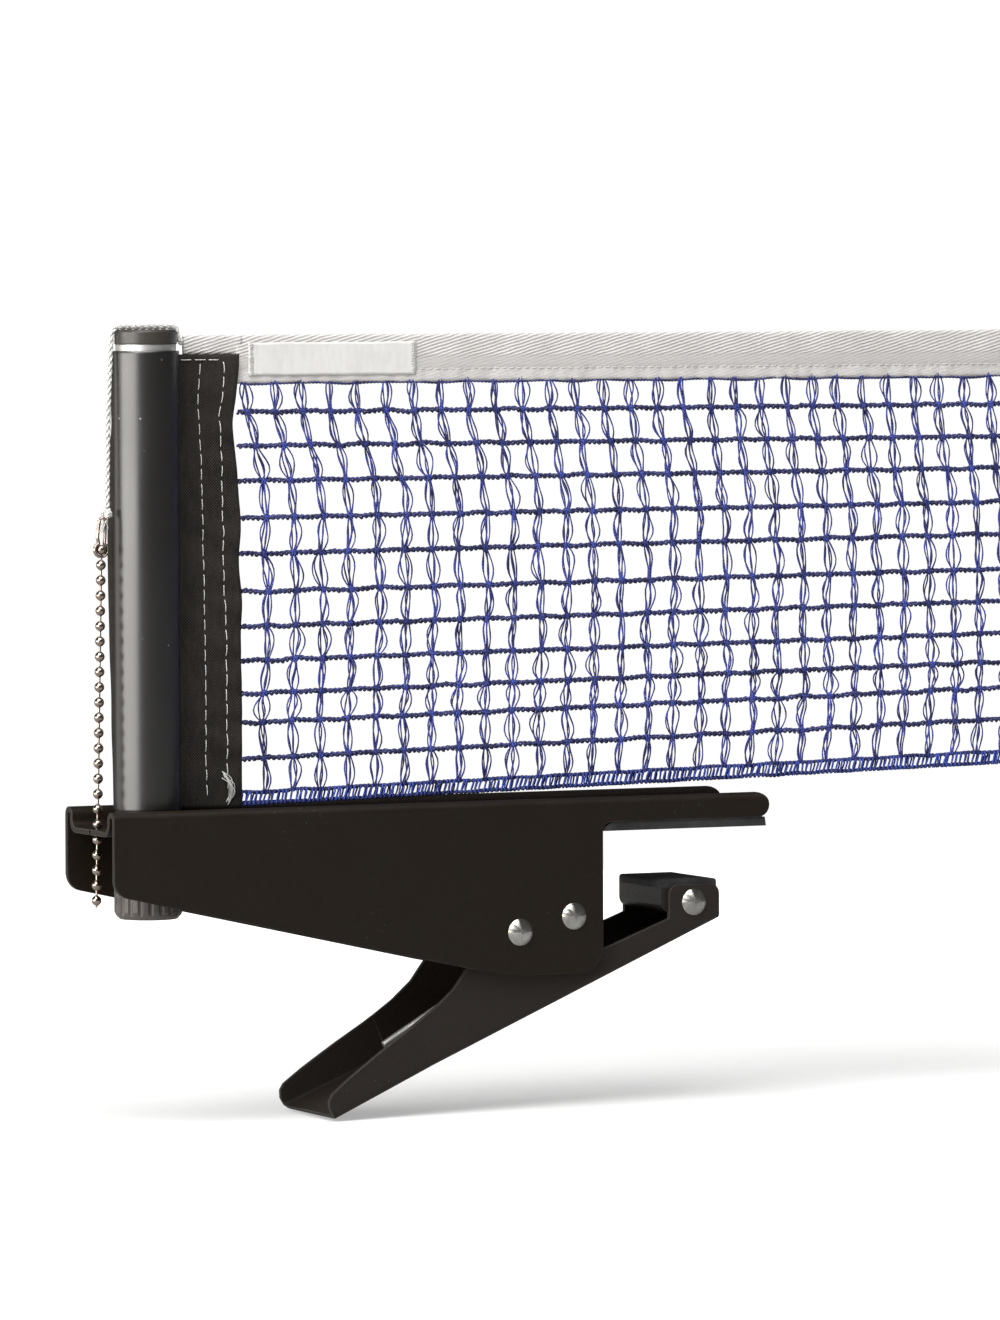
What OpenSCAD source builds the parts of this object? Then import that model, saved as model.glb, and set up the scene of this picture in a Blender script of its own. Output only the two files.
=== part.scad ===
// Clip-on net post for a table tennis table: a spring clamp that grips the table edge,
// a post with height adjustment, and the near stretch of the net that it carries.
// Origin: the corner where the table's edge meets the upper jaw, on the net's mid-plane.
// +X runs from the post over the table, +Y to the back, +Z up. Millimetres.

/* [Standard distances] */
// Height of the net's top edge above the table
net_height = 152.5; // [140:0.5:160]
// Distance from the table's edge out to the post's axis
post_offset = 142.5; // [130:0.5:160]
// Thickness of the table top that the jaws grip at rest
table_t = 16; // [14:0.5:20]

/* [Bracket] */
// Outer width of the pressed bracket
bracket_w = 39; // [37:0.5:42]
// Sheet thickness of the bracket
bracket_t = 1.6; // [1.2:0.1:1.8]
// Length of the bracket outboard of the post's axis
tail_len = 19; // [17:0.5:22]
// Length of the upper jaw over the table
arm_len = 57; // [50:1:65]
// Height of the folded rails above the jaw's lining
rail_top = 10.4; // [9.6:0.1:12]
// Outer width of one folded rail
fold_w = 5.4; // [5:0.1:6]
// Radius where a rail's inner wall meets the trough floor, measured underneath
trough_r = 4; // [3:0.1:4.4]
// Thickness of the upper jaw's rubber lining
lining_t = 2.75; // [2:0.05:3.2]
// Depth of the side plates at their lowest point
plate_depth = 43.3; // [42:0.1:48]
// Depth of the side plates at the outboard end
tail_depth = 15.5; // [13:0.1:17]
// Width of the slot that locks the bead chain
chain_slot_w = 1.5; // [1.3:0.05:1.8]

/* [Lever] */
// Outer width of the lever's channel
lever_w = 33; // [30:0.5:33.5]
// Sheet thickness of the lever
lever_t = 1.4; // [1.2:0.1:1.6]
// Distance from the pivot to the handle's tip, along the channel
handle_len = 78.6; // [70:0.1:85]
// Distance from the pivot forward to the channel's nose, along the channel
nose_len = 64.5; // [62:0.5:70]
// Slope of the channel's floor
lever_slope = 23.3; // [22:0.1:25]
// Distance from the pivot's axis down to the channel's floor, square to it
pivot_height = 25.9; // [23:0.1:27]
// Radius of the ear round the pivot
pivot_ear_r = 12; // [10:0.5:13]
// Angle at which the handle's sides splay outward
handle_splay = 4.2; // [0:0.1:6]

/* [Rivets and pads] */
// Distance from the throat back to the lever's pivot
pivot_back = 28; // [26:0.5:30]
// Depth of the lever's pivot below the jaw's lining
pivot_drop = 30; // [29:0.5:31]
// Distance from the throat back to the stop rivet
stop_back = 9.8; // [9:0.1:10.5]
// Depth of the stop rivet below the jaw's lining
stop_drop = 25.7; // [24:0.1:27]
// Radius of the shanks of the pivot and stop rivets
rivet_r = 3; // [2.5:0.1:3.2]
// Radius of the domed rivet heads
head_r = 4.1; // [3.8:0.1:4.6]
// Height of the domed rivet heads
head_h = 1.7; // [1.2:0.1:2]
// Radius of the tube that spaces the plates round the stop rivet
spacer_r = 4.6; // [4.2:0.1:5]
// Distance of the pad's rivet in front of the throat
pad_rivet_x = 32.5; // [31:0.5:35]
// Radius of the pad's rivet shank
pad_rivet_r = 2.5; // [2:0.1:2.8]
// Length of the lower pad along the jaw
pad_len = 19; // [17.5:0.1:20]
// How far the lower pad reaches in front of its rivet
pad_lead = 8.4; // [8:0.1:9]
// Height of the lower pad over all
pad_h = 10; // [9:0.1:10.2]
// Thickness of the rubber face on the lower pad
pad_face_t = 2.4; // [1.5:0.1:3]

/* [Torsion spring] */
// Wire diameter of the torsion spring
spring_wire = 2.4; // [2:0.1:2.6]
// Mean radius of the torsion spring's coil
spring_r = 6.8; // [6.6:0.1:7.6]
// Pitch of the coil along the pivot
spring_pitch = 3.05; // [2.9:0.05:3.2]

/* [Post] */
// Outer diameter of the post
post_d = 20; // [19:0.5:22]
// Wall of the post's front shell
shell_t = 1.1; // [0.8:0.1:1.4]
// Wall of the post's inner tube
core_t = 1.2; // [1:0.1:2]
// Gap between the inner tube and the shell that the sleeve's cloth passes through
cloth_gap = 0.75; // [0.7:0.05:0.9]
// Diameter of the cap
cap_d = 18.8; // [18:0.1:19.8]
// Height of the cap
cap_h = 4.5; // [3:0.1:6]
// Height of the bright ring under the cap
ring_h = 1.9; // [1:0.1:2.5]
// How far the cap's top stands above the net's top edge
cap_rise = 1.7; // [1:0.1:3]
// Height of the post's foot above the trough floor at rest
foot_gap = 4.05; // [3.9:0.05:5]
// How far the post can be set up or down from rest
lift_travel = 3; // [2:0.5:3]

/* [Height screw] */
// Outer diameter of the fluted knob
knob_d = 20.6; // [19:0.1:22]
// Height of the fluted knob
knob_h = 9.5; // [8:0.1:11]
// Number of flutes round the knob
knob_flutes = 20; // [16:1:24]
// Distance from the trough floor's underside down to the knob
knob_drop = 16.25; // [15:0.25:18]
// Nominal radius of the height screw
screw_r = 3; // [2.5:0.1:3.5]
// Outer radius of the guide bush's barrel
bush_r = 5.5; // [5:0.1:6]

/* [Net] */
// Length of net that is modelled, from the table's edge inward
net_reach = 152; // [120:1:200]
// Width of black sleeve beside the post's axis
sleeve_w = 30.9; // [28:0.1:34]
// Height of the white tape
tape_h = 14.5; // [13:0.5:16]
// Thickness of the doubled tape
tape_t = 1.4; // [1.2:0.1:1.6]
// Thickness of the sleeve's panel
panel_t = 2.4; // [2:0.1:3]
// Height of the net's lower edge above the table beside the post
net_low = 10; // [9.6:0.1:11]
// How much the net's lower edge rises over the modelled length
net_rise = 5.6; // [4:0.1:9]
// Height of the laddered band along the lower edge
band_h = 4.5; // [3:0.1:5]
// Number of meshes across the modelled length
mesh_cols = 24; // [20:1:25]
// Number of meshes up the net
mesh_rows = 12; // [10:1:12]
// Width of a strand
strand_w = 1.2; // [0.8:0.1:1.5]
// Width of the black end piece past the modelled net
end_w = 22; // [18:1:26]

/* [Cord and chain] */
// Diameter of the tension cord
cord_d = 1.6; // [1.4:0.1:1.8]
// Diameter of a chain bead
bead_d = 3; // [2.8:0.1:3.2]
// Distance between chain beads
bead_pitch = 4.58; // [4.5:0.01:4.66]
// Number of chain beads
bead_count = 24; // [20:1:26]

/* [Hidden] */
$fn = 48;

// Clearances
running_fit = 0.06;   // a shaft in its hole
face_gap = 0.1;       // two faces that slide past each other
seat_gap = 0.3;       // soft or loose pieces beside their seat

// Bracket
half_w = bracket_w / 2;
inner_half = half_w - bracket_t;
web_low = lining_t;
web_top = web_low + bracket_t;
tail_x = -post_offset - tail_len;
fold_z = rail_top - fold_w / 2;
wall_y = half_w - fold_w;
arm_end_r = (rail_top - lining_t) / 2;
throat_fillet = lining_t;
tail_corner_r = 5.5;
heel_corner_r = 8;
flat_start = -34;
flat_end = -heel_corner_r;
notch_depth = 3.3;
bush_hole_r = bush_r;

// Lever, in its own frame: u along the channel, v square to its floor
pivot = [-pivot_back, -pivot_drop];
stop_at = [-stop_back, -stop_drop];
pad_top = -table_t;
pad_low = pad_top - pad_h;
pad_pin = [pad_rivet_x, pad_low + 3];
pad_x0 = pad_rivet_x + pad_lead - pad_len;
pad_x1 = pad_rivet_x + pad_lead;
lever_half = lever_w / 2;
lever_in = lever_half - lever_t;
lever_bend_r = 2.4;
pad_half_w = lever_in - seat_gap;
ear_half = 8.6;
ear_gap = 1.5;
nose_lip_h = 8.6;
splay_u = -42;           // where the handle starts to splay
flange_max = 60;         // height of the uncut flanges

// Post
post_r = post_d / 2;
post_x = -post_offset;
cap_top = net_height + cap_rise;
cap_low = cap_top - cap_h;
shell_top = cap_low - ring_h;
foot_z = web_top + foot_gap;
foot_t = 1.2;
shell_low = foot_z + foot_t;
core_r = post_r - shell_t - cloth_gap;
plug_r = core_r - core_t;
plug_h = 12;
cap_stem_h = 10;
shell_from = 152;     // angles of the shell's two edges, from +X towards +Y
shell_to = 346;
wrap_out = 0.55;      // how far the cloth stands proud of the post behind

// Height screw
knob_top = web_low - knob_drop;
knob_low = knob_top - knob_h;
bush_low = knob_top + face_gap;
clip_t = 0.8;
clip_r = 4.6;
screw_top = foot_z + 15;
screw_low = knob_low + 2;
flute_r = 0.9;

// Net
sleeve_x = post_x + sleeve_w;
sleeve_top = shell_top - 0.2;
tape_low = net_height - tape_h;
tape_start = post_x + post_r + 1.9;
strip_low = sleeve_top + 0.4;
band_t = 1.8;
strand_t = 1.2;
end_x = net_reach;
label_x0 = sleeve_x + 2.6;
label_x1 = label_x0 + 56;
label_z0 = tape_low + 2.2;
label_z1 = net_height - 2.2;
label_t = 0.4;

// Chain and cord, in the net's mid-plane, as [x, z]
slot_x = tail_x + notch_depth;
chain_mid = (web_low + web_top) / 2;
beads_below = 5;
chain_top = chain_mid + (bead_count - beads_below - 0.5) * bead_pitch;
chain_lean = 0.02;   // how far the chain leans towards the post per millimetre of height
link_d = 0.9;
knot_z = chain_top + 10.6;
cord_over = [   // from the tape's end over the cap, from the post's axis and the cap's top
  [10.45, -2.4], [10.05, -1.1], [9.8, 0.2], [8.3, 0.9], [5.5, 0.9], [2.5, 0.9], [-2.5, 0.9],
  [-6.5, 0.9], [-8.7, 0.85], [-10.1, 0.3], [-10.9, -1], [-11.3, -3.2], [-11.6, -8.2]
];
cord_top = post_x + cord_over[len(cord_over) - 1][0];
cord_top_z = cap_top + cord_over[len(cord_over) - 1][1];
cord_foot = post_x - 12.8;
cord_foot_z = knot_z + 2.2;
cord_route = concat(
  [[tape_start - 0.1, cap_top - 3.9], [tape_start - 0.6, cap_top - 3.85], [tape_start - 1.1, cap_top - 3.3]],
  [for (p = cord_over) [post_x + p[0], cap_top + p[1]]],
  [for (t = [0.2, 0.4, 0.6, 0.8, 1])
    [cord_foot + (cord_top - cord_foot) * (1 - t) * (1 - t), cord_top_z + (cord_foot_z - cord_top_z) * t]]
);

// ---------- helpers ----------

// Points on an arc about [x, y]
function arc(x, y, r, from, to, n = 8) =
  [for (i = [0:n]) let (a = from + (to - from) * i / n) [x + r * cos(a), y + r * sin(a)]];

function unit(v) = v / norm(v);

// A closed tube along a path of 3-D points, as one unbroken skin
module tube(path, r, sides = 8) {
  n = len(path);
  function along(i) = unit(path[min(i + 1, n - 1)] - path[max(i - 1, 0)]);
  function ring(i) =
    let (t = along(i), a = unit(cross(t, [0, 1, 0])), b = cross(t, a))
    [for (k = [0:sides - 1]) path[i] + r * (cos(360 * k / sides) * a + sin(360 * k / sides) * b)];
  points = concat([for (i = [0:n - 1]) each ring(i)], [path[0], path[n - 1]]);
  skin = [for (i = [0:n - 2], k = [0:sides - 1])
    let (p = i * sides + k, q = i * sides + (k + 1) % sides)
    each [[p, p + sides, q], [q, p + sides, q + sides]]];
  ends = [for (k = [0:sides - 1])
    let (q = (k + 1) % sides)
    each [[n * sides, k, q], [n * sides + 1, (n - 1) * sides + q, (n - 1) * sides + k]]];
  polyhedron(points, concat(skin, ends), convexity = 10);
}

// A 2-D shape drawn in X and Z, given a thickness along Y
module slab(y0, y1) {
  translate([0, y1, 0]) rotate([90, 0, 0]) linear_extrude(y1 - y0) children();
}

// A cylinder along Y
module rod(at, r, y0, y1) {
  translate([at[0], y0, at[1]]) rotate([-90, 0, 0]) cylinder(r = r, h = y1 - y0);
}

module ring_rod(at, r_out, r_in, y0, y1) {
  difference() {
    rod(at, r_out, y0, y1);
    rod(at, r_in, y0 - 1, y1 + 1);
  }
}

// A domed rivet: shank between two faces, a head outside each of them
module rivet(at, shank_r, reach) {
  dome_r = (head_r * head_r + head_h * head_h) / (2 * head_h);
  rod(at, shank_r, -reach, reach);
  for (side = [-1, 1])
    translate([at[0], side * reach, at[1]]) rotate([-90 * side, 0, 0])
      intersection() {
        translate([0, 0, head_h - dome_r]) sphere(r = dome_r, $fn = 64);
        cylinder(r = head_r, h = head_h);
      }
}

// ---------- bracket ----------

// Half of the pressed section, in Y and Z
module half_section() {
  // side plate
  translate([inner_half, -plate_depth - 5]) square([bracket_t, plate_depth + 5 + fold_z]);
  // rolled top edge
  translate([half_w - fold_w / 2, fold_z]) intersection() {
    difference() {
      circle(r = fold_w / 2);
      circle(r = fold_w / 2 - bracket_t);
    }
    translate([-fold_w, 0]) square([2 * fold_w, fold_w]);
  }
  // rail's inner wall down to the bend
  translate([wall_y, web_low + trough_r]) square([bracket_t, fold_z - web_low - trough_r]);
  // bend into the trough floor
  translate([wall_y + bracket_t - trough_r, web_low + trough_r]) intersection() {
    difference() {
      circle(r = trough_r);
      circle(r = trough_r - bracket_t);
    }
    translate([0, -trough_r]) square([trough_r, trough_r]);
  }
  // trough floor
  translate([0, web_low]) square([wall_y + bracket_t - trough_r, bracket_t]);
}

// Outline of the bracket seen from the side, in X and Z
module bracket_outline() {
  polygon(concat(
    [[tail_x, rail_top]],
    arc(tail_x + tail_corner_r, -tail_depth + tail_corner_r, tail_corner_r, 180, 257, 6),
    [[-46, -plate_depth + 3]],
    [[flat_start, -plate_depth + 0.6], [flat_start + 8, -plate_depth]],
    arc(flat_end, -plate_depth + heel_corner_r, heel_corner_r, 270, 360, 8),
    arc(throat_fillet, lining_t - throat_fillet, throat_fillet, 180, 90, 5),
    arc(arm_len - arm_end_r, lining_t + arm_end_r, arm_end_r, -90, 90, 10)
  ));
}

module bracket() {
  color("#1c1c1e") difference() {
    intersection() {
      translate([tail_x - 1, 0, 0]) rotate([90, 0, 90]) linear_extrude(arm_len - tail_x + 2)
        union() {
          half_section();
          mirror([1, 0]) half_section();
        }
      slab(-half_w - 1, half_w + 1) bracket_outline();
    }
    rod(pivot, rivet_r, -half_w - 1, half_w + 1);
    rod(stop_at, rivet_r, -half_w - 1, half_w + 1);
    translate([post_x, 0, web_low - 1]) cylinder(r = bush_hole_r, h = bracket_t + 2);
    // chain slot with a round end
    translate([slot_x - chain_slot_w / 2, 0, web_low - 1]) cylinder(r = chain_slot_w / 2, h = bracket_t + 2);
    translate([tail_x - 1, -chain_slot_w / 2, web_low - 1])
      cube([notch_depth + 1 - chain_slot_w / 2, chain_slot_w, bracket_t + 2]);
  }
}

module upper_jaw_pad() {
  margin = 0.4;
  color("#2b2b2d") slab(-half_w + margin, half_w - margin)
    polygon([[throat_fillet + 0.6, lining_t], [margin, lining_t / 3], [margin, 0],
             [arm_len - 1, 0], [arm_len - 1.4, lining_t]]);
}

// ---------- rivets, spacer, bush, washers ----------

module pivot_rivet() {
  color("#cfcdc8") rivet(pivot, rivet_r, half_w);
}

module stop_rivet() {
  color("#cfcdc8") rivet(stop_at, rivet_r, half_w);
}

module stop_spacer() {
  color("#8d8d90") ring_rod(stop_at, spacer_r, rivet_r, -inner_half, inner_half);
}

module spring_bush() {
  color("#d8d4c6") ring_rod(pivot, rivet_r + 1.6, rivet_r, -lever_in + seat_gap, lever_in - seat_gap);
}

module pivot_washers() {
  color("#e4e2da") for (side = [-1, 1])
    ring_rod(pivot, rivet_r + 3, rivet_r,
      side > 0 ? lever_half + face_gap : -inner_half, side > 0 ? inner_half : -lever_half - face_gap);
}

// ---------- torsion spring ----------

spring_y = -lever_in + spring_wire / 2 + 0.2;
leg_a_end = [-71.3, -63.2];
leg_b_end = [-62, web_low - spring_wire / 2 - face_gap];
// Angle at which a straight leg leaves the coil
function leave_angle(end, sign) =
  let (d = end - pivot) atan2(d[1], d[0]) + sign * acos(spring_r / norm(d));
coil_from = leave_angle(leg_a_end, 1);
coil_to = leave_angle(leg_b_end, -1) + 360 * 6 + (coil_from < 0 ? -360 : 0);
coil_turns = (coil_to - coil_from) / 360;
coil_rings = ceil(coil_turns * 8);
function coil_point(a) =
  [pivot[0] + spring_r * cos(a), spring_y + spring_pitch * (a - coil_from) / 360, pivot[1] + spring_r * sin(a)];
spring_end_y = spring_y + spring_pitch * coil_turns;
function leg_points(end, y, start, n) =
  [for (i = [0:n - 1]) let (t = i / n) [end[0] + (start[0] - end[0]) * t, y, end[1] + (start[2] - end[1]) * t]];
spring_path = concat(
  leg_points(leg_a_end, spring_y, coil_point(coil_from), 4),
  [for (i = [0:coil_rings]) coil_point(coil_from + (coil_to - coil_from) * i / coil_rings)],
  [for (p = [3:-1:0]) leg_points(leg_b_end, spring_end_y, coil_point(coil_to), 4)[p]]
);
spring_last = len(spring_path) - 1;
spring_gap = min([for (i = [0:spring_last - 5], j = [i + 5:spring_last])
  norm(spring_path[i] - spring_path[j])]) - spring_wire;
echo(spring_turns = coil_turns, spring_least_gap = spring_gap);

module torsion_spring() {
  color("#3a3a3d") tube(spring_path, spring_wire / 2, 6);
}

// ---------- lever ----------

// Turns the channel's own frame into the object's
module at_lever_floor() {
  translate([pivot[0], 0, pivot[1]]) rotate([0, -lever_slope, 0]) translate([0, 0, -pivot_height]) children();
}

// Point of the channel's frame, as [x, z]
function on_lever(u, v) =
  [pivot[0] + u * cos(lever_slope) - (v - pivot_height) * sin(lever_slope),
   pivot[1] + u * sin(lever_slope) + (v - pivot_height) * cos(lever_slope)];

// Outline of the lever's flanges seen from the side
module lever_outline() {
  union() {
    polygon(concat(
      [on_lever(-handle_len + 1, 0), on_lever(nose_len, 0), [pad_pin[0] + ear_half, pad_pin[1] - 3]],
      arc(pad_pin[0] + ear_half - 3, pad_top - ear_gap - 3, 3, 0, 90, 4),
      arc(pad_pin[0] - ear_half + 3, pad_top - ear_gap - 3, 3, 90, 180, 4),
      [[pad_pin[0] - ear_half, pad_pin[1] - 4.8]],
      [on_lever(20, nose_lip_h), on_lever(13, nose_lip_h + 1.5), on_lever(9.5, nose_lip_h + 7)],
      [[pivot[0], pivot[1]]],
      arc(pivot[0] - pivot_ear_r - 10, pivot[1] - 2, 10, 0, -38, 4),
      [on_lever(-20, 22.3), on_lever(-26, 18.8), on_lever(-34, 16.2), on_lever(-44.5, 14), on_lever(-57, 11.9)],
      [on_lever(-handle_len + 10, 9.6), on_lever(-handle_len + 2.6, 7.7), on_lever(-handle_len + 0.8, 6.3)],
      [on_lever(-handle_len, 4), on_lever(-handle_len + 0.3, 1.4)]
    ));
    translate(pivot) circle(r = pivot_ear_r);
  }
}

// Section of the folded channel, across its length
module channel_section() {
  difference() {
    union() {
      translate([-lever_half, lever_bend_r]) square([lever_w, flange_max]);
      translate([-lever_half + lever_bend_r, 0]) square([lever_w - 2 * lever_bend_r, lever_bend_r + 1]);
      for (side = [-1, 1]) translate([side * (lever_half - lever_bend_r), lever_bend_r]) circle(r = lever_bend_r);
    }
    translate([-lever_in, lever_bend_r]) square([2 * lever_in, flange_max]);
    translate([-lever_half + lever_bend_r, lever_t]) square([lever_w - 2 * lever_bend_r, lever_bend_r + 1]);
    for (side = [-1, 1])
      translate([side * (lever_half - lever_bend_r), lever_bend_r]) circle(r = lever_bend_r - lever_t);
  }
}

// Draws the section along the channel between two places
module channel(from, to) {
  translate([from, 0, 0]) rotate([90, 0, 90]) linear_extrude(to - from) children();
}

// The handle's two splayed sides, each with more than half of the floor
module splayed_handle() {
  floor_share = 6;
  crimp = 0.15;   // the small step where the splay starts
  intersection() {
    translate([-handle_len - 5, -lever_w, -1]) cube([handle_len + 5 + splay_u, 2 * lever_w, flange_max]);
    for (side = [-1, 1])
      translate([splay_u, side * (lever_half + crimp), 0]) rotate(-side * handle_splay)
        translate([-splay_u, -side * lever_half, 0]) channel(-handle_len - 5, splay_u + 3) intersection() {
          channel_section();
          translate([side > 0 ? -floor_share : -lever_w + floor_share, -1]) square([lever_w, flange_max + 5]);
        }
  }
}

module lever() {
  color("#1f1f21") difference() {
    intersection() {
      at_lever_floor() union() {
        channel(splay_u, nose_len + 5) channel_section();
        splayed_handle();
      }
      slab(-lever_w, lever_w) lever_outline();
    }
    rod(pivot, rivet_r + running_fit, -lever_half - 1, lever_half + 1);
    rod(pad_pin, pad_rivet_r, -lever_half - 1, lever_half + 1);
  }
}

module jaw_rivet() {
  color("#cfcdc8") rivet(pad_pin, pad_rivet_r, lever_half);
}

module jaw_pad_carrier() {
  nose_r = 3;
  color("#242426") difference() {
    slab(-pad_half_w, pad_half_w) polygon(concat(
      [[pad_x0, pad_top - pad_face_t]],
      arc(pad_x0 + nose_r, pad_low + nose_r, nose_r, 180, 270, 5),
      arc(pad_x1 - nose_r, pad_low + nose_r, nose_r, 270, 360, 5),
      [[pad_x1, pad_top - pad_face_t]]
    ));
    rod(pad_pin, pad_rivet_r + running_fit, -pad_half_w - 1, pad_half_w + 1);
  }
}

module jaw_pad_face() {
  color("#303033") slab(-pad_half_w, pad_half_w) polygon(concat(
    [[pad_x0, pad_top - pad_face_t], [pad_x1, pad_top - pad_face_t]],
    arc(pad_x1 - 1, pad_top - 1, 1, 0, 90, 4),
    arc(pad_x0 + 1, pad_top - 1, 1, 90, 180, 4)
  ));
}

// ---------- height screw ----------

module guide_bush() {
  flange_t = 2;
  color("#26262a") difference() {
    union() {
      translate([post_x, 0, bush_low]) cylinder(r = bush_r, h = web_top - bush_low);
      translate([post_x, 0, web_low - flange_t]) cylinder(r = bush_r + 2.5, h = flange_t);
    }
    translate([post_x, 0, bush_low - 1]) cylinder(r = screw_r + running_fit, h = web_top - bush_low + 2);
  }
}

module height_knob() {
  rim = 1.6;
  color("#3b3b3e") translate([post_x, 0, 0]) difference() {
    rotate_extrude($fn = 64) polygon([
      [0, knob_low], [knob_d / 2 - rim, knob_low], [knob_d / 2 - 0.5, knob_low + rim * 0.7],
      [knob_d / 2, knob_low + rim * 1.4], [knob_d / 2, knob_top - 0.6], [knob_d / 2 - 0.6, knob_top], [0, knob_top]
    ]);
    for (i = [0:knob_flutes - 1]) rotate(360 * i / knob_flutes)
      translate([knob_d / 2 + 0.35, 0, knob_low - 1]) cylinder(r = flute_r, h = knob_h + 2, $fn = 24);
    translate([0, 0, screw_low]) cylinder(r = screw_r, h = knob_h);
  }
}

module height_screw() {
  color("#b9b9bd") translate([post_x, 0, 0]) {
    translate([0, 0, screw_low]) cylinder(r = screw_r, h = screw_top - 1 - screw_low);
    translate([0, 0, screw_top - 1]) cylinder(r1 = screw_r, r2 = screw_r - 0.8, h = 1, $fn = 48);
  }
}

module screw_clip() {
  color("#9a9a9e") translate([post_x, 0, web_top + face_gap]) difference() {
    cylinder(r = clip_r, h = clip_t);
    translate([0, 0, -1]) cylinder(r = screw_r, h = clip_t + 2);
    translate([0, -0.8, -1]) cube([clip_r + 1, 1.6, clip_t + 2]);
  }
}

// ---------- post ----------

// Part of a ring between two angles, in X and Y about the post's axis
module ring_sector(r_in, r_out, from, to) {
  n = 48;
  polygon(concat(arc(0, 0, r_out, from, to, n), arc(0, 0, r_in, to, from, n)));
}

module post_shell() {
  color("#161618") translate([post_x, 0, shell_low]) linear_extrude(shell_top - shell_low)
    ring_sector(post_r - shell_t, post_r, shell_from, shell_to);
}

module post_core() {
  color("#55555a") translate([post_x, 0, shell_low]) difference() {
    cylinder(r = core_r, h = shell_top - shell_low);
    translate([0, 0, -1]) cylinder(r = plug_r, h = shell_top - shell_low + 2);
  }
}

module post_cap() {
  edge = 0.7;
  color("#222225") translate([post_x, 0, 0]) rotate_extrude($fn = 64) polygon([
    [0, cap_low - ring_h - cap_stem_h], [plug_r, cap_low - ring_h - cap_stem_h], [plug_r, cap_low],
    [cap_d / 2 - 0.3, cap_low], [cap_d / 2, cap_low + 0.3], [cap_d / 2, cap_top - edge],
    [cap_d / 2 - edge, cap_top], [0, cap_top]
  ]);
}

module cap_ring() {
  color("#d7d6d2") translate([post_x, 0, shell_top]) difference() {
    cylinder(r = cap_d / 2 - 0.3, h = ring_h);
    translate([0, 0, -1]) cylinder(r = plug_r, h = ring_h + 2);
  }
}

module post_foot() {
  color("#2a2a2d") translate([post_x, 0, foot_z]) difference() {
    union() {
      cylinder(r = post_r, h = foot_t);
      cylinder(r = plug_r, h = plug_h);
    }
    translate([0, 0, -1]) cylinder(r = screw_r + running_fit, h = plug_h + 2);
  }
}

// ---------- cord and chain ----------

function lean_x(z) = slot_x - chain_slot_w / 2 + chain_lean * (z - chain_mid);

module tension_cord() {
  color("#e9e8e4") tube([for (p = cord_route) [p[0], 0, p[1]]], cord_d / 2, 8);
}

module cord_knot() {
  r = 1.8;
  color("#e3e2dd") translate([cord_foot, 0, knot_z]) rotate_extrude($fn = 32)
    polygon([[0, -r], [0.5 * r, -0.9 * r], [r, -0.3 * r], [r, 0.3 * r], [0.6 * r, r], [0, 1.2 * r]]);
}

module chain_clasp() {
  eye_r = 1.9;
  eye = [lean_x(chain_top), chain_top + bead_d / 2 + 0.02 + eye_r];
  neck_top = knot_z - 1.78;
  color("#c9c6bf") slab(-0.5, 0.5) difference() {
    union() {
      translate(eye) circle(r = eye_r);
      polygon([[eye[0] - 1.2, eye[1]], [eye[0] + 1.2, eye[1]],
               [cord_foot + 0.6, neck_top], [cord_foot - 0.6, neck_top]]);
    }
    translate(eye) circle(r = 1);
  }
}

module bead_chain() {
  color("#b8b1a6") {
    for (i = [0:bead_count - 1]) {
      z = chain_top - i * bead_pitch;
      translate([lean_x(z), 0, z]) sphere(r = bead_d / 2, $fn = 32);
    }
    bottom = chain_top - (bead_count - 1) * bead_pitch - bead_d / 2 - 0.6;
    translate([lean_x(bottom), 0, bottom]) rotate([0, atan(chain_lean), 0])
      cylinder(r = link_d / 2, h = (chain_top - bottom) / cos(atan(chain_lean)));
  }
}

// ---------- net ----------

// The net's lower edge rises evenly from the sleeve to the modelled end
function low_edge(x) = net_low + net_rise * (x - sleeve_x) / (end_x - sleeve_x);

module net_sleeve() {
  out_r = post_r + wrap_out;             // behind the post
  in_r = post_r - shell_t - 0.1;         // inside the shell
  panel_a = asin(panel_t / 2 / out_r);   // where the flat panel leaves the wrap
  color("#19191b") translate([post_x, 0, shell_low]) linear_extrude(sleeve_top - shell_low) difference() {
    polygon(concat(
      [[sleeve_w, -panel_t / 2], [sleeve_w, panel_t / 2]],
      arc(0, 0, out_r, panel_a, shell_from - 1, 24),
      arc(0, 0, in_r, shell_from - 1, shell_to + 3, 24),
      arc(0, 0, out_r, shell_to + 3, 360 - panel_a, 2)
    ));
    circle(r = core_r + 0.05);
  }
}

module net_tape() {
  color("#d9dadc") slab(-tape_t / 2, tape_t / 2) polygon([
    [tape_start, strip_low], [sleeve_x + 0.1, strip_low], [sleeve_x + 0.1, tape_low],
    [end_x, tape_low], [end_x, net_height], [tape_start, net_height]
  ]);
}

module net_label() {
  color("#e8e8e6") slab(-tape_t / 2 - label_t, -tape_t / 2)
    translate([label_x0, label_z0]) square([label_x1 - label_x0, label_z1 - label_z0]);
}

// Lower edge of a row of knots, between the band and the tape
function row_z(x, row) =
  let (base = low_edge(x) + band_h) base + (tape_low - strand_w - base) * row / mesh_rows;

module net_mesh() {
  col_pitch = (end_x - sleeve_x) / mesh_cols;
  color("#27408f") slab(-strand_t / 2, strand_t / 2) difference() {
    polygon([[sleeve_x, row_z(sleeve_x, 0)], [end_x, row_z(end_x, 0)], [end_x, tape_low], [sleeve_x, tape_low]]);
    for (i = [0:mesh_cols - 1], j = [0:mesh_rows - 1])
      let (x0 = sleeve_x + i * col_pitch + strand_w / 2, x1 = x0 + col_pitch - strand_w)
        polygon([[x0, row_z(x0, j) + strand_w], [x1, row_z(x1, j) + strand_w],
                 [x1, row_z(x1, j + 1)], [x0, row_z(x0, j + 1)]]);
  }
}

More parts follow.
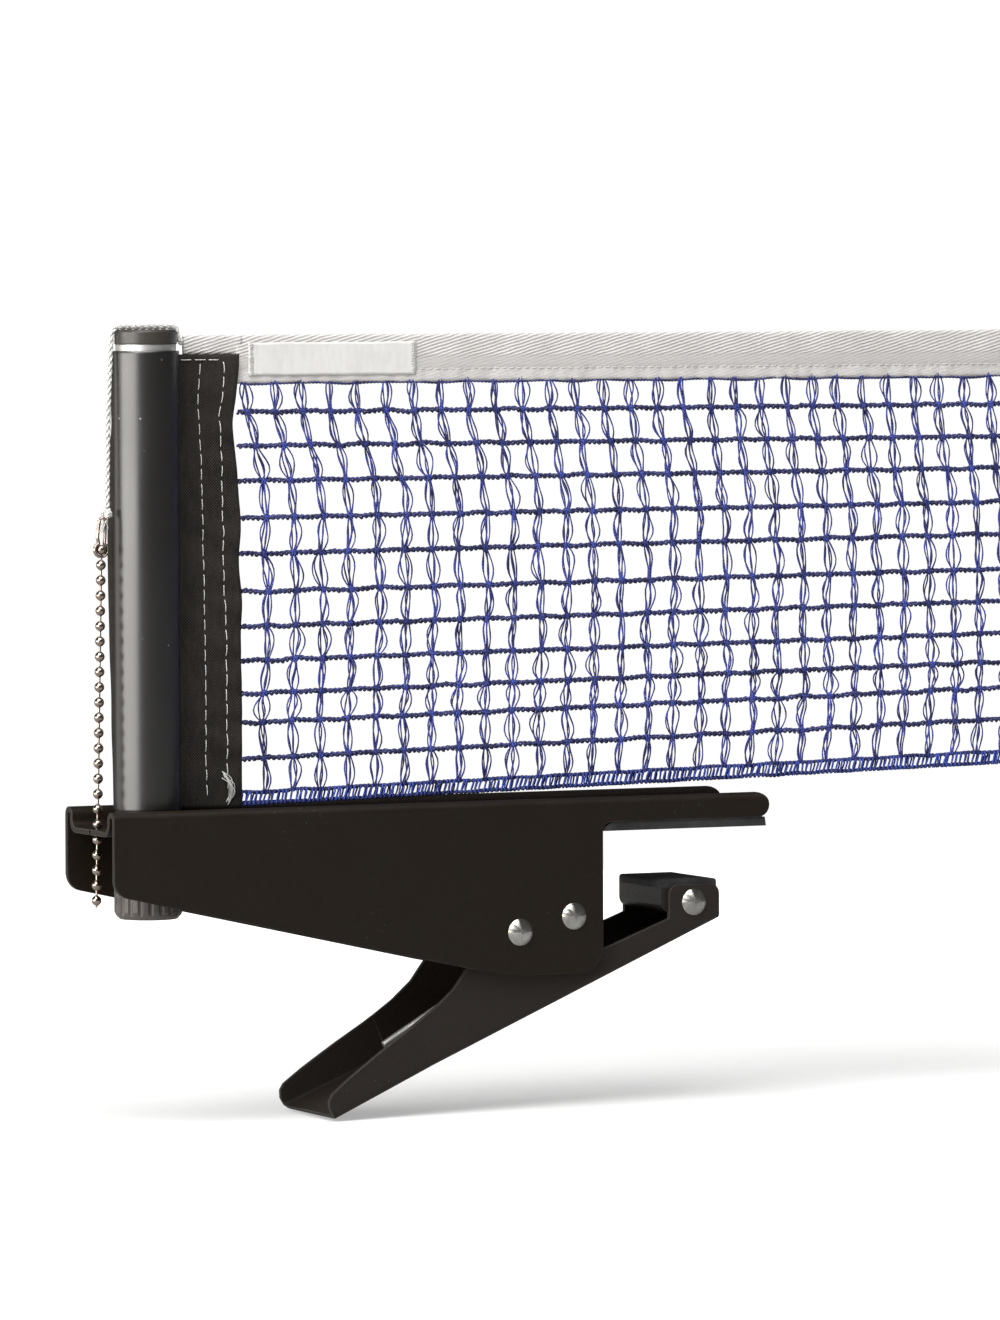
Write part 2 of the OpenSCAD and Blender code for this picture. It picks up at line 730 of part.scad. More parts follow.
module net_band() {
  color("#1d3078") slab(-band_t / 2, band_t / 2) polygon([
    [sleeve_x, low_edge(sleeve_x)], [end_x, low_edge(end_x)],
    [end_x, low_edge(end_x) + band_h], [sleeve_x, low_edge(sleeve_x) + band_h]
  ]);
}

module end_sleeve() {
  color("#19191b") slab(-panel_t / 2, panel_t / 2)
    translate([end_x, low_edge(end_x)]) square([end_w, net_height - low_edge(end_x)]);
}

module end_loop() {
  loop_r = 4;
  loop_drop = 5;
  loop_x = end_x + end_w + loop_r;
  color("#e9e8e4") translate([loop_x, 0, net_height - loop_drop]) rotate([90, 0, 0])
    rotate_extrude($fn = 32) translate([loop_r - cord_d / 2 + 0.05, 0]) circle(r = cord_d / 2, $fn = 24);
}

bracket();
upper_jaw_pad();
pivot_rivet();
stop_rivet();
stop_spacer();
spring_bush();
pivot_washers();
torsion_spring();
guide_bush();
bead_chain();
chain_clasp();
cord_knot();
lever();
jaw_rivet();
jaw_pad_carrier();
jaw_pad_face();
height_knob();
height_screw();
screw_clip();
post_shell();
post_core();
post_cap();
cap_ring();
post_foot();
tension_cord();
net_sleeve();
net_tape();
net_label();
net_mesh();
net_band();
end_sleeve();
end_loop();
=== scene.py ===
import math

import bpy
import numpy as np
from mathutils import Matrix, Vector


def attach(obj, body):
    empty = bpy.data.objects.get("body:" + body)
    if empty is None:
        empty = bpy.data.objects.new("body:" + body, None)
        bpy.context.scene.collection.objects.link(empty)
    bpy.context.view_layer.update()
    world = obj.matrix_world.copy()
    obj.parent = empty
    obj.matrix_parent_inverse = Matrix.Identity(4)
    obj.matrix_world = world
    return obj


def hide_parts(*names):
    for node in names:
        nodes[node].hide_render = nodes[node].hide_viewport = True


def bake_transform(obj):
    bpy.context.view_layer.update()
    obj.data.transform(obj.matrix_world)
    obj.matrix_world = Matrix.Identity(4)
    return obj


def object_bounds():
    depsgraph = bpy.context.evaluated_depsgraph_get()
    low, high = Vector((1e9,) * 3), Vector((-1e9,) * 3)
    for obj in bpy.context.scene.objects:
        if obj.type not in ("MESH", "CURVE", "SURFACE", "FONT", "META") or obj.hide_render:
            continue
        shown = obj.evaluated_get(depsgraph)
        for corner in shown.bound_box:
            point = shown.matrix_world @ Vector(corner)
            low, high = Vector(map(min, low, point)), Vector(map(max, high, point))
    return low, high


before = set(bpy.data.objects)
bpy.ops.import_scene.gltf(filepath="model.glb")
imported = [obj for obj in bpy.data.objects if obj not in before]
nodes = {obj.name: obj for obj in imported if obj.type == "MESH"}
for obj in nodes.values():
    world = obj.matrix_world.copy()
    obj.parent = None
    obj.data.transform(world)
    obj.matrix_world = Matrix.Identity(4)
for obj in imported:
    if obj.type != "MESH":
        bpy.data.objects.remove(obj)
cad_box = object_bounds()
shuffle = np.random.default_rng(11)

# Places of the clamp's parts, in millimetres
MM = 0.001
POST_X = -142.5
CAP_TOP = 154.2
SLEEVE_X = -111.6
SLEEVE_TOP = 147.6
SLEEVE_LOW = 9.6
TAPE_START = -130.6
TAPE_LOW = 138
NET_TOP = 152.5
END_X = 152
END_W = 22
CHAIN_X = -158.95
CHAIN_TOP = 88.28
BEAD_PITCH = 4.58
BEADS = 24
BEAD_R = 1.5
EYE_R = 2.12
KNOT_Z = 98.88
CORD_FOOT = -155.3
CORD_LAY = 6.6
CORD_PLY_R = 0.44
PIVOT = (-28, -30)
STOP = (-9.8, -25.7)
PAD_PIN = (32.5, -23)

# The sleeve's panel: where it starts, how far it reaches and the half depth of its fold
PANEL_START = 10.6
PANEL_REACH = 20.25
FOLD = 0.95
PANEL_EDGE = PANEL_START + PANEL_REACH
DEEPEST_FOLD = -0.12
STITCH_PITCH = 4.55
STITCH_LIFT = 0.2

# Heights of the net's rows where it leaves the sleeve and where it reaches the end piece
ROWS_NEAR = (129.1, 118.9, 108.3, 97.1, 86.2, 74.7, 64.2, 53.9, 43.9, 35.1, 24.2)
ROWS_FAR = (129.0, 118.9, 108.9, 98.2, 88.1, 77.0, 66.9, 56.8, 47.7, 39.5, 29.6)


# ---------- camera, stage and light ----------

def place_camera():
    """A long lens, low and in front of the post, turned a little anticlockwise."""
    azimuth, elevation, roll = math.radians(-24.805), math.radians(2.513), math.radians(-0.188)
    back = Vector((math.sin(azimuth) * math.cos(elevation), -math.cos(azimuth) * math.cos(elevation),
                   math.sin(elevation)))
    level = Vector((math.cos(azimuth), math.sin(azimuth), 0))
    upright = back.cross(level)
    right = level * math.cos(roll) + upright * math.sin(roll)
    up = upright * math.cos(roll) - level * math.sin(roll)
    lens = bpy.data.cameras.new("camera")
    lens.lens = 226.1
    lens.sensor_width = 36
    lens.shift_x = 0.01004
    lens.shift_y = -0.01892
    lens.clip_start = 0.1
    lens.clip_end = 30
    camera = bpy.data.objects.new("camera", lens)
    bpy.context.scene.collection.objects.link(camera)
    turn = Matrix((right, up, back)).transposed().to_4x4()
    camera.matrix_world = Matrix.Translation(Vector((-0.03, 0, 0.06)) + back * 2.54) @ turn
    bpy.context.scene.camera = camera


def soft_box(name, azimuth, elevation, distance, size, power, colour=(1, 1, 1)):
    """A rectangular lamp that looks at the clamp from an azimuth and elevation in degrees."""
    a, e = math.radians(azimuth), math.radians(elevation)
    away = Vector((math.sin(a) * math.cos(e), -math.cos(a) * math.cos(e), math.sin(e)))
    lamp = bpy.data.lights.new(name, "AREA")
    lamp.shape = "RECTANGLE"
    lamp.size, lamp.size_y = size
    lamp.energy = power
    lamp.color = colour
    box = bpy.data.objects.new(name, lamp)
    bpy.context.scene.collection.objects.link(box)
    box.location = Vector((-0.03, 0, 0.05)) + away * distance
    box.rotation_euler = (-away).to_track_quat("-Z", "Y").to_euler()


# ---------- materials ----------

def add(tree, kind, inputs=(), **settings):
    """Adds a node with its settings, and sets or links its sockets."""
    made = tree.nodes.new("ShaderNode" + kind)
    for key, value in settings.items():
        setattr(made, key, value)
    for key, value in dict(inputs).items():
        if isinstance(value, bpy.types.NodeSocket):
            tree.links.new(value, made.inputs[key])
        else:
            made.inputs[key].default_value = value
    return made


def math_node(tree, operation, first, second=0.0, clamp=False):
    return add(tree, "Math", {0: first, 1: second}, operation=operation, use_clamp=clamp).outputs[0]


def times(tree, first, second, clamp=False):
    return math_node(tree, "MULTIPLY", first, second, clamp)


def spread(tree, value, low, high, to_low=0.0, to_high=1.0):
    """A value between low and high, spread from to_low to to_high."""
    return add(tree, "MapRange", {"Value": value, "From Min": low, "From Max": high,
                                  "To Min": to_low, "To Max": to_high}).outputs[0]


def noise(tree, vector, scale, detail=3.0, roughness=0.55):
    return add(tree, "TexNoise", {"Vector": vector, "Scale": scale, "Detail": detail,
                                  "Roughness": roughness}).outputs["Fac"]


def mixed(tree, share, first, second):
    """Two colours mixed by a share."""
    first, second = (c if isinstance(c, bpy.types.NodeSocket) else (*c, 1) for c in (first, second))
    return add(tree, "Mix", {"Factor": share, 6: first, 7: second}, data_type="RGBA").outputs[2]


def scaled(colour, share):
    return tuple(c * share for c in colour)


def drawn_noise(tree, place, scaling, scale, detail):
    """Noise that is drawn out in the directions with a small scaling."""
    return noise(tree, add(tree, "Mapping", {"Vector": place, "Scale": scaling}).outputs[0], scale, detail)


def finish(name, roughness, metallic=0.0, sockets=()):
    """A new material with its tree, shader and object coordinates."""
    material = bpy.data.materials.new(name)
    material.use_nodes = True
    tree = material.node_tree
    shader = tree.nodes["Principled BSDF"]
    shader.inputs["Roughness"].default_value = roughness
    shader.inputs["Metallic"].default_value = metallic
    for key, value in dict(sockets).items():
        shader.inputs[key].default_value = value
    place = add(tree, "TexCoord").outputs["Object"]
    return material, tree, shader, place


def vary_gloss(tree, shader, value, low, high):
    """Spreads the shader's roughness from low to high with a noise."""
    tree.links.new(spread(tree, value, 0.3, 0.7, low, high), shader.inputs["Roughness"])


def cloth_sheen(weight, roughness, specular):
    return {"Sheen Weight": weight, "Sheen Roughness": roughness, "Specular IOR Level": specular}


def bumped(tree, shader, height, distance, strength=1.0, under=None):
    """Raises the shader's surface by a height between 0 and 1 times a distance in metres."""
    inputs = {"Height": height, "Distance": distance, "Strength": strength}
    if under is not None:
        inputs["Normal"] = under
    bump = add(tree, "Bump", inputs).outputs[0]
    tree.links.new(bump, shader.inputs["Normal"])
    return bump


def specks(tree, place, scale, size, where):
    """Small dots of dust, kept to the patches where they may lie."""
    dots = add(tree, "TexVoronoi", {"Vector": place, "Scale": scale}).outputs["Distance"]
    return times(tree, spread(tree, dots, *size), where, True)


def powder_coat(name, colour, roughness, worn=(0.09, 0.088, 0.085)):
    """Satin black coating: slight orange peel, specks of dust, and edges rubbed a little lighter."""
    material, tree, shader, place = finish(name, roughness, sockets={"Specular IOR Level": 0.2})
    peel = noise(tree, place, 900, 2)
    cloud = noise(tree, place, 45, 4)
    grain = noise(tree, place, 2600, 2)
    rounded = add(tree, "Bevel", {"Radius": 0.0005}, samples=4).outputs[0]
    flat = add(tree, "NewGeometry").outputs["Normal"]
    along = add(tree, "VectorMath", {0: rounded, 1: flat}, operation="DOT_PRODUCT").outputs["Value"]
    edge = spread(tree, along, 0.985, 0.88)
    rub = times(tree, edge, spread(tree, cloud, 0.42, 0.62, 0.1, 0.8), True)
    dust = specks(tree, place, 420.0, (0.1, 0.06), spread(tree, cloud, 0.54, 0.7))
    shade = mixed(tree, spread(tree, grain, 0.3, 0.7), colour, scaled(colour, 1.5))
    shade = mixed(tree, rub, shade, worn)
    shade = mixed(tree, times(tree, dust, 0.2), shade, (0.3, 0.28, 0.26))
    tree.links.new(shade, shader.inputs["Base Color"])
    vary_gloss(tree, shader, cloud, roughness - 0.07, roughness + 0.09)
    bumped(tree, shader, peel, 0.00002, 0.5, rounded)
    return material


def lacquer(name, colour, roughness, radius=0.0012):
    """Smooth satin lacquer on a drawn tube: faint marks along its length and a few pale specks."""
    material, tree, shader, place = finish(name, roughness, sockets={"Specular IOR Level": 0.8, "IOR": 1.6})
    lines = drawn_noise(tree, place, (1, 1, 0.03), 1500, 3)
    cloud = noise(tree, place, 30, 4)
    rounded = add(tree, "Bevel", {"Radius": radius}, samples=10).outputs[0]
    dust = specks(tree, place, 260.0, (0.09, 0.05), spread(tree, cloud, 0.5, 0.62))
    shade = mixed(tree, spread(tree, lines, 0.35, 0.65), colour, scaled(colour, 1.35))
    shade = mixed(tree, times(tree, dust, 0.6), shade, (0.5, 0.48, 0.46))
    tree.links.new(shade, shader.inputs["Base Color"])
    vary_gloss(tree, shader, cloud, roughness - 0.015, roughness + 0.02)
    bumped(tree, shader, lines, 0.000004, 0.4, rounded)
    return material


def plated(name, colour, roughness, scratch=0.3, spun=None):
    """Bright plating, cloudy and finely scratched; spun is the centre it was turned about, in X and Z."""
    material, tree, shader, place = finish(name, roughness, 1.0)
    cloud = noise(tree, place, 260, 4)
    pits = noise(tree, place, 2400, 2)
    fine = drawn_noise(tree, place, (1, 0.15, 0.15), 3000, 2)
    shade = mixed(tree, spread(tree, cloud, 0.35, 0.68), colour, scaled(colour, 0.72))
    tree.links.new(shade, shader.inputs["Base Color"])
    vary_gloss(tree, shader, cloud, roughness, roughness + 0.16)
    height = math_node(tree, "ADD", times(tree, fine, scratch), times(tree, pits, 0.3))
    bump = bumped(tree, shader, height, 0.000012, 0.6)
    if spun:
        parts = add(tree, "SeparateXYZ", {"Vector": place})
        x = math_node(tree, "SUBTRACT", parts.outputs["X"], spun[0] * MM)
        z = math_node(tree, "SUBTRACT", parts.outputs["Z"], spun[1] * MM)
        spoke = add(tree, "CombineXYZ", {"X": x, "Z": z}).outputs[0]
        outward = add(tree, "VectorMath", {0: spoke}, operation="NORMALIZE").outputs[0]
        tree.links.new(outward, shader.inputs["Tangent"])
        shader.inputs["Anisotropic"].default_value = 0.9
        reach = add(tree, "VectorMath", {0: spoke}, operation="LENGTH").outputs["Value"]
        turned = math_node(tree, "SINE", times(tree, reach, 2 * math.pi / 0.0003))
        bumped(tree, shader, spread(tree, turned, -1.0, 1.0), 0.000008, 0.6, bump)
    return material


def moulded(name, colour, roughness, texture=1400, depth=0.00001, sockets=()):
    """Moulded plastic: a fine skin texture and slow changes of gloss."""
    material, tree, shader, place = finish(name, roughness, sockets=sockets)
    skin = noise(tree, place, texture, 3)
    cloud = noise(tree, place, 60, 4)
    shade = mixed(tree, spread(tree, cloud, 0.35, 0.68), colour, scaled(colour, 1.4))
    tree.links.new(shade, shader.inputs["Base Color"])
    vary_gloss(tree, shader, skin, roughness - 0.05, roughness + 0.08)
    rounded = add(tree, "Bevel", {"Radius": 0.0003}, samples=4).outputs[0]
    bumped(tree, shader, skin, depth, 0.7, rounded)
    return material


def rubber(name, colour):
    """Matt moulded rubber with a dusty bloom and a pebbled skin."""
    material, tree, shader, place = finish(name, 0.72, sockets={"Specular IOR Level": 0.35})
    pebble = add(tree, "TexVoronoi", {"Vector": place, "Scale": 1500.0}).outputs["Distance"]
    bloom = noise(tree, place, 90, 5, 0.65)
    shade = mixed(tree, spread(tree, bloom, 0.4, 0.7), colour, scaled(colour, 2.4))
    tree.links.new(shade, shader.inputs["Base Color"])
    bumped(tree, shader, pebble, 0.00004, 0.5)
    return material


def woven(name, dark, light, pitch, depth, fuzz=0.35, fade=None):
    """Plain weave that follows the cloth: threads over and under, with painted light on the threads' tops and
    painted shade between them, faded in soft patches.
    """
    material, tree, shader, place = finish(name, 0.85, sockets=cloth_sheen(fuzz, 0.45, 0.25))
    parts = add(tree, "SeparateXYZ", {"Vector": add(tree, "UVMap").outputs[0]})
    turns = 2 * math.pi / pitch
    across = math_node(tree, "SINE", times(tree, parts.outputs["X"], turns))
    upward = math_node(tree, "SINE", times(tree, parts.outputs["Y"], turns))
    cross = spread(tree, times(tree, across, upward), -1.0, 1.0)
    slub = drawn_noise(tree, place, (1, 1, 0.25), 700, 3)
    cloud = noise(tree, place, 55, 4)
    weave = math_node(tree, "ADD", times(tree, cross, 0.75), times(tree, slub, 0.5))
    # Painted light and shade: the raised threads take the light colour and the hollows between them the dark
    # one
    shade = mixed(tree, spread(tree, weave, 0.3, 1.0), dark, light)
    shade = mixed(tree, spread(tree, cloud, 0.45, 0.7, 0.0, 0.4), shade, fade or light)
    tree.links.new(shade, shader.inputs["Base Color"])
    bumped(tree, shader, weave, depth, 0.8)
    return material


def ribbed_tape(name, pale, shadow, band, hem_top, band_top):
    """Folded tape: slanting ribs on top with painted shade in their hollows, a smooth band, and a brighter
    puckered hem below.
    """
    material, tree, shader, place = finish(name, 0.8, sockets=cloth_sheen(0.2, 0.5, 0.3))
    where = add(tree, "SeparateXYZ", {"Vector": place})
    x, z = where.outputs["X"], where.outputs["Z"]
    slope = math.radians(16)
    turns = 2 * math.pi / 0.00098
    tilt = math_node(tree, "SUBTRACT", times(tree, z, math.cos(slope) * turns),
                     times(tree, x, math.sin(slope) * turns))
    wobble = times(tree, noise(tree, place, 160, 3), 5.0)
    rib = spread(tree, math_node(tree, "SINE", math_node(tree, "ADD", tilt, wobble)), -1.0, 1.0)
    fine = drawn_noise(tree, place, (0.25, 1, 1), 2400, 3)
    cloud = noise(tree, place, 70, 4)
    upper = spread(tree, z, band_top - 0.0005, band_top + 0.0005)
    hem = spread(tree, z, hem_top + 0.0004, hem_top - 0.0004)
    ribs = times(tree, rib, spread(tree, upper, 0.0, 1.0, 0.2, 1.0))
    height = math_node(tree, "ADD", ribs, times(tree, fine, 0.5))
    # Painted shade and light: the ribs' hollows take the shadow colour and their tops the pale one; the
    # blotches below are patchy tone
    shade = mixed(tree, spread(tree, height, 0.25, 1.15), shadow, pale)
    shade = mixed(tree, math_node(tree, "SUBTRACT", 1.0, upper), shade, band)
    shade = mixed(tree, times(tree, hem, 0.4), shade, pale)
    blotch = math_node(tree, "ADD", cloud, times(tree, fine, 0.4))
    shade = mixed(tree, spread(tree, blotch, 0.48, 0.85, 0.0, 0.6), shade, shadow)
    tree.links.new(shade, shader.inputs["Base Color"])
    bumped(tree, shader, height, 0.0002, 0.8)
    return material


def yarn(name, dark, light, lay=0.0012, fuzz=0.3, shine=0.3, patchy=0.5, depth=0.00008):
    """Spun yarn: fibres that run aslant round each strand, with painted light where they stand up and painted
    shade between them, and dark patches.
    """
    material, tree, shader, place = finish(name, 0.7, sockets=cloth_sheen(fuzz, 0.5, shine))
    parts = add(tree, "SeparateXYZ", {"Vector": add(tree, "UVMap").outputs[0]})
    turns = 2 * math.pi / lay
    slant = times(tree, math_node(tree, "ADD", parts.outputs["X"], parts.outputs["Y"]), turns)
    fibre = spread(tree, math_node(tree, "SINE", slant), -1.0, 1.0)
    fluff = noise(tree, place, 1800, 3)
    cloud = noise(tree, place, 120, 4)
    height = math_node(tree, "ADD", times(tree, fibre, 0.6), times(tree, fluff, 0.6))
    # Painted light and shade: the raised fibres take the light colour and the grooves between them the dark
    # one
    shade = mixed(tree, spread(tree, height, 0.25, 0.95), dark, light)
    shade = mixed(tree, spread(tree, cloud, 0.42, 0.62, 0.0, patchy), shade, dark)
    tree.links.new(shade, shader.inputs["Base Color"])
    bumped(tree, shader, height, depth, 0.7)
    return material


def dress(node, material):
    """Gives a CAD node its material, on every slot it has."""
    piece = nodes[node]
    if not piece.data.materials:
        piece.data.materials.append(material)
    for place in piece.material_slots:
        place.material = material


# ---------- making pieces ----------

def only(piece):
    """Selects one piece and makes it active."""
    bpy.ops.object.select_all(action="DESELECT")
    piece.select_set(True)
    bpy.context.view_layer.objects.active = piece


def apply_modifier(piece, kind, **settings):
    only(piece)
    modifier = piece.modifiers.new(kind.lower(), kind)
    for key, value in settings.items():
        setattr(modifier, key, value)
    bpy.ops.object.modifier_apply(modifier=modifier.name)


def make_piece(name, points, faces, uvs, material):
    """A smooth mesh from points in millimetres, with UVs in metres, one for each corner."""
    mesh = bpy.data.meshes.new(name)
    mesh.from_pydata((np.asarray(points) * MM).tolist(), [], faces)
    layer = mesh.uv_layers.new(name="UVMap")
    layer.data.foreach_set("uv", (np.asarray(uvs, float) * MM).ravel())
    mesh.materials.append(material)
    mesh.shade_smooth()
    piece = bpy.data.objects.new(name, mesh)
    bpy.context.scene.collection.objects.link(piece)
    return piece


def run_length(path):
    """How far along a path each of its points lies."""
    return np.concatenate([[0], np.cumsum(np.linalg.norm(np.diff(path, axis=0), axis=1))])


def points_at(x, y, z):
    """Points from their coordinates, where one number may serve them all."""
    return np.stack(np.broadcast_arrays(x, y, z), axis=1)


def smooth_path(points, step):
    """A curve through points, with its own points a step apart."""
    p = np.asarray(points, float)
    p = np.vstack([2 * p[0] - p[1], p, 2 * p[-1] - p[-2]])
    fine = []
    for a, b, c, d in zip(p[:-3], p[1:-2], p[2:-1], p[3:]):
        for t in np.linspace(0, 1, 12, endpoint=False):
            fine.append(0.5 * (2 * b + (c - a) * t + (2 * a - 5 * b + 4 * c - d) * t ** 2
                               + (3 * b - a - 3 * c + d) * t ** 3))
    fine = np.array([*fine, p[-2]])
    run = run_length(fine)
    at = np.linspace(0, run[-1], max(2, int(round(run[-1] / step)) + 1))
    return np.stack([np.interp(at, run, fine[:, k]) for k in range(3)], axis=1)


def ring_frames(path):
    """Two directions square to a path at each of its points, carried along it without a twist."""
    ahead = np.gradient(path, axis=0)
    ahead /= np.linalg.norm(ahead, axis=1)[:, None]
    side = np.cross(ahead[0], (0.11, 0.97, 0.23))
    sides = np.empty_like(path)
    for i, t in enumerate(ahead):
        side = side - t * side.dot(t)
        side = side / math.sqrt(side.dot(side))
        sides[i] = side
    return sides, np.cross(ahead, sides)


def plies(path, count, offset, pitch, phase=0.0):
    """The strands of a twisted cord round a path."""
    a, b = ring_frames(path)
    turn = run_length(path) / pitch * 2 * math.pi + phase
    found = []
    for k in range(count):
        angle = (turn + 2 * math.pi * k / count)[:, None]
        found.append(path + offset * (np.cos(angle) * a + np.sin(angle) * b))
    return found


def strands(name, paths, radius, sides, material, swell=0.0, knob=1.5):
    """Round strands along paths, as one closed mesh; swell makes them knobbly, every knob of their length."""
    points, faces, uvs, base = [], [], [], 0
    angles = np.arange(sides) * 2 * math.pi / sides
    for path in paths:
        path = np.asarray(path, float)
        a, b = ring_frames(path)
        along = run_length(path)
        girth = radius * (1 + swell * np.sin(along * 2 * math.pi / knob + len(points) * 1.7))[:, None, None]
        rings = path[:, None] + girth * (np.cos(angles)[None, :, None] * a[:, None]
                                         + np.sin(angles)[None, :, None] * b[:, None])
        count = len(path)
        i, k = np.meshgrid(np.arange(count - 1), np.arange(sides), indexing="ij")
        nxt = (k + 1) % sides
        here, ahead = base + i * sides, base + (i + 1) * sides
        quads = np.stack([here + k, here + nxt, ahead + nxt, ahead + k], -1)
        round_step = 2 * math.pi * radius / sides
        u0, u1, v0, v1 = k * round_step, (k + 1) * round_step, along[i], along[i + 1]
        uvs.append(np.stack([np.stack([u0, v0], -1), np.stack([u1, v0], -1),
                             np.stack([u1, v1], -1), np.stack([u0, v1], -1)], -2).reshape(-1, 2))
        faces.extend(quads.reshape(-1, 4).tolist())
        last = base + (count - 1) * sides
        faces.append(list(range(base + sides - 1, base - 1, -1)))
        faces.append(list(range(last, last + sides)))
        uvs.append(np.zeros((2 * sides, 2)))
        points.append(rings.reshape(-1, 3))
        base += count * sides
    return make_piece(name, np.concatenate(points), faces, np.concatenate(uvs), material)


def cloth(name, grid, thickness, material):
    """A sheet of cloth through rows of points, with its thickness to both sides."""
    grid = np.array(grid)
    rows, cols = grid.shape[:2]
    across = run_length(grid[rows // 2])
    upward = run_length(grid[:, cols // 2])
    i, k = np.meshgrid(np.arange(rows - 1), np.arange(cols - 1), indexing="ij")
    corners = [(i, k), (i, k + 1), (i + 1, k + 1), (i + 1, k)]
    faces = np.stack([r * cols + c for r, c in corners], -1).reshape(-1, 4).tolist()
    uvs = np.stack([np.stack([across[c], upward[r]], -1) for r, c in corners], -2).reshape(-1, 2)
    piece = make_piece(name, grid.reshape(-1, 3), faces, uvs, material)
    apply_modifier(piece, "SOLIDIFY", thickness=thickness * MM, offset=0, use_even_offset=True)
    piece.data.shade_smooth()
    return piece


def running_stitch(path, dash, pitch, lift, dip=0.25):
    """Dashes of thread along a path: each rises by lift, and dips into the cloth at its ends."""
    path = smooth_path(path, 0.5)
    run = run_length(path)
    found = []
    for start in np.arange(0.3, run[-1] - dash, pitch):
        at = start + np.linspace(0, dash * shuffle.uniform(0.9, 1.05), 7)
        points = np.stack([np.interp(at, run, path[:, k]) for k in range(3)], axis=1)
        hump = np.sin(np.linspace(0, math.pi, 7)) ** 0.5
        points[:, 1] += lift * hump - dip * np.sign(lift) * (1 - hump)
        found.append(points)
    return found


def stitch_both_faces(path, dash, pitch, lift, dip=0.25):
    """The same seam on the near face and on the far one."""
    near = np.asarray(path, float)
    far = near * (1, -1, 1)
    return running_stitch(near, dash, pitch, -lift, dip) + running_stitch(far, dash, pitch, lift, dip)


def waves(at, seed, longest, shortest, count=6):
    """A sum of gentle waves, mostly between -1 and 1, the same on every run."""
    source = np.random.default_rng(seed)
    total = np.zeros_like(at, float)
    for _ in range(count):
        length = source.uniform(shortest, longest)
        total += np.sin(at * 2 * math.pi / length + source.uniform(0, 2 * math.pi))
    return total / math.sqrt(count)


# ---------- sleeve, tape and label ----------

def sleeve_edge(z):
    """Where the sleeve's free edge stands at a height, from the post's axis."""
    heights = (9.6, 15, 42, 60, 74, 79, 87, 96, 100.5, 107, 111, 119, 124.7, 133, 142, 147.6)
    reach = (30.4, 30.4, 30.6, 30.2, 30.85, 29.9, 29.7, 30.7, 30.0, 29.6, 29.3, 28.5, 27.5, 28.9, 29.9, 30.3)
    return sum(np.interp(z + shift, heights, reach) for shift in (-3, -1.5, 0, 1.5, 3)) / 5


def turned_fold(x):
    """The round turn of doubled cloth about a place, in section."""
    return [(x + FOLD * math.cos(a), FOLD * math.sin(a)) for a in np.radians((-60, -30, 0, 30, 60))]


def sleeve_pucker(reach, z):
    """How far the panel's cloth stands proud at a distance from the post's axis; each row draws it in."""
    share = np.clip((np.asarray(reach, float) - PANEL_START) / PANEL_REACH, 0, 1)
    pull = np.exp(-((z - np.array(ROWS_NEAR)) / 2.2) ** 2).sum()
    creases = waves(z + np.asarray(reach) * 0.5, 3, 26, 9)
    folds = (0.55 * (0.6 - pull) + 0.34 * creases) * share ** 0.5
    return np.maximum(folds, DEEPEST_FOLD)


def sleeve_cloth(material):
    """The black sleeve: out of the post, along the panel, round its edge and back behind the post."""
    def ring(radius, angle):
        return radius * math.cos(math.radians(angle)), radius * math.sin(math.radians(angle))

    front = [ring(8.5, a) for a in (330, 336, 342, 346.5)] + [ring(9.1, 349), ring(9.9, 351.2)]
    panel = np.linspace(10.7, 29.9, 24)
    fold = turned_fold(29.9)
    wrap = [ring(10.3, a) for a in np.linspace(7, 143, 30)]
    dive = [ring(10.2, 146.5), ring(9.7, 149), ring(9.0, 150.4), ring(8.5, 153), ring(8.45, 160)]
    section = np.array([*front, *((x, -FOLD) for x in panel), *fold, *((x, FOLD) for x in panel[::-1]),
                        *wrap, *dive])
    rows = []
    for z in np.arange(SLEEVE_LOW + 0.2, SLEEVE_TOP, 1.15):
        x, y = section[:, 0].copy(), section[:, 1].copy()
        share = np.clip((x - PANEL_START) / PANEL_REACH, 0, 1)
        flat = (x > 10.4) & (np.abs(y) < 1)
        stretch = sleeve_edge(z) / PANEL_EDGE
        x = np.where(flat, PANEL_START + (x - PANEL_START) * (1 + (stretch - 1) * 1.5 * share), x)
        loose = np.where(share > 0.97, 0.3, 1.0)
        y = np.where(flat, y + np.sign(y) * sleeve_pucker(x, z) * loose, y)
        angle = np.degrees(np.arctan2(section[:, 1], section[:, 0]))
        behind = np.exp(-((angle - 141) / 13) ** 2) * (angle < 149) * (angle > 60)
        swell = np.interp(z, (9.6, 24, 50, 62, 86, 104, 116, 119.5, 121.5, 126, 147),
                          (0.2, 0.4, 0.95, 1.3, 1.65, 1.75, 1.75, 1.5, 0.7, 0.35, 0.3))
        out = 1 + behind * (swell + 0.1 * waves(z, 8, 42, 17)) / 10.3
        rows.append(points_at(POST_X + x * out, y * out, z))
    return cloth("sleeve_cloth", rows, 0.5, material)


def front_of_sleeve(points):
    """A seam's points laid on the panel's front face."""
    fine = smooth_path([(x, 0, z) for x, z in points], 1.2)
    return np.array([(x, -1.24 - float(sleeve_pucker(x - POST_X, z)), z) for x, _, z in fine])


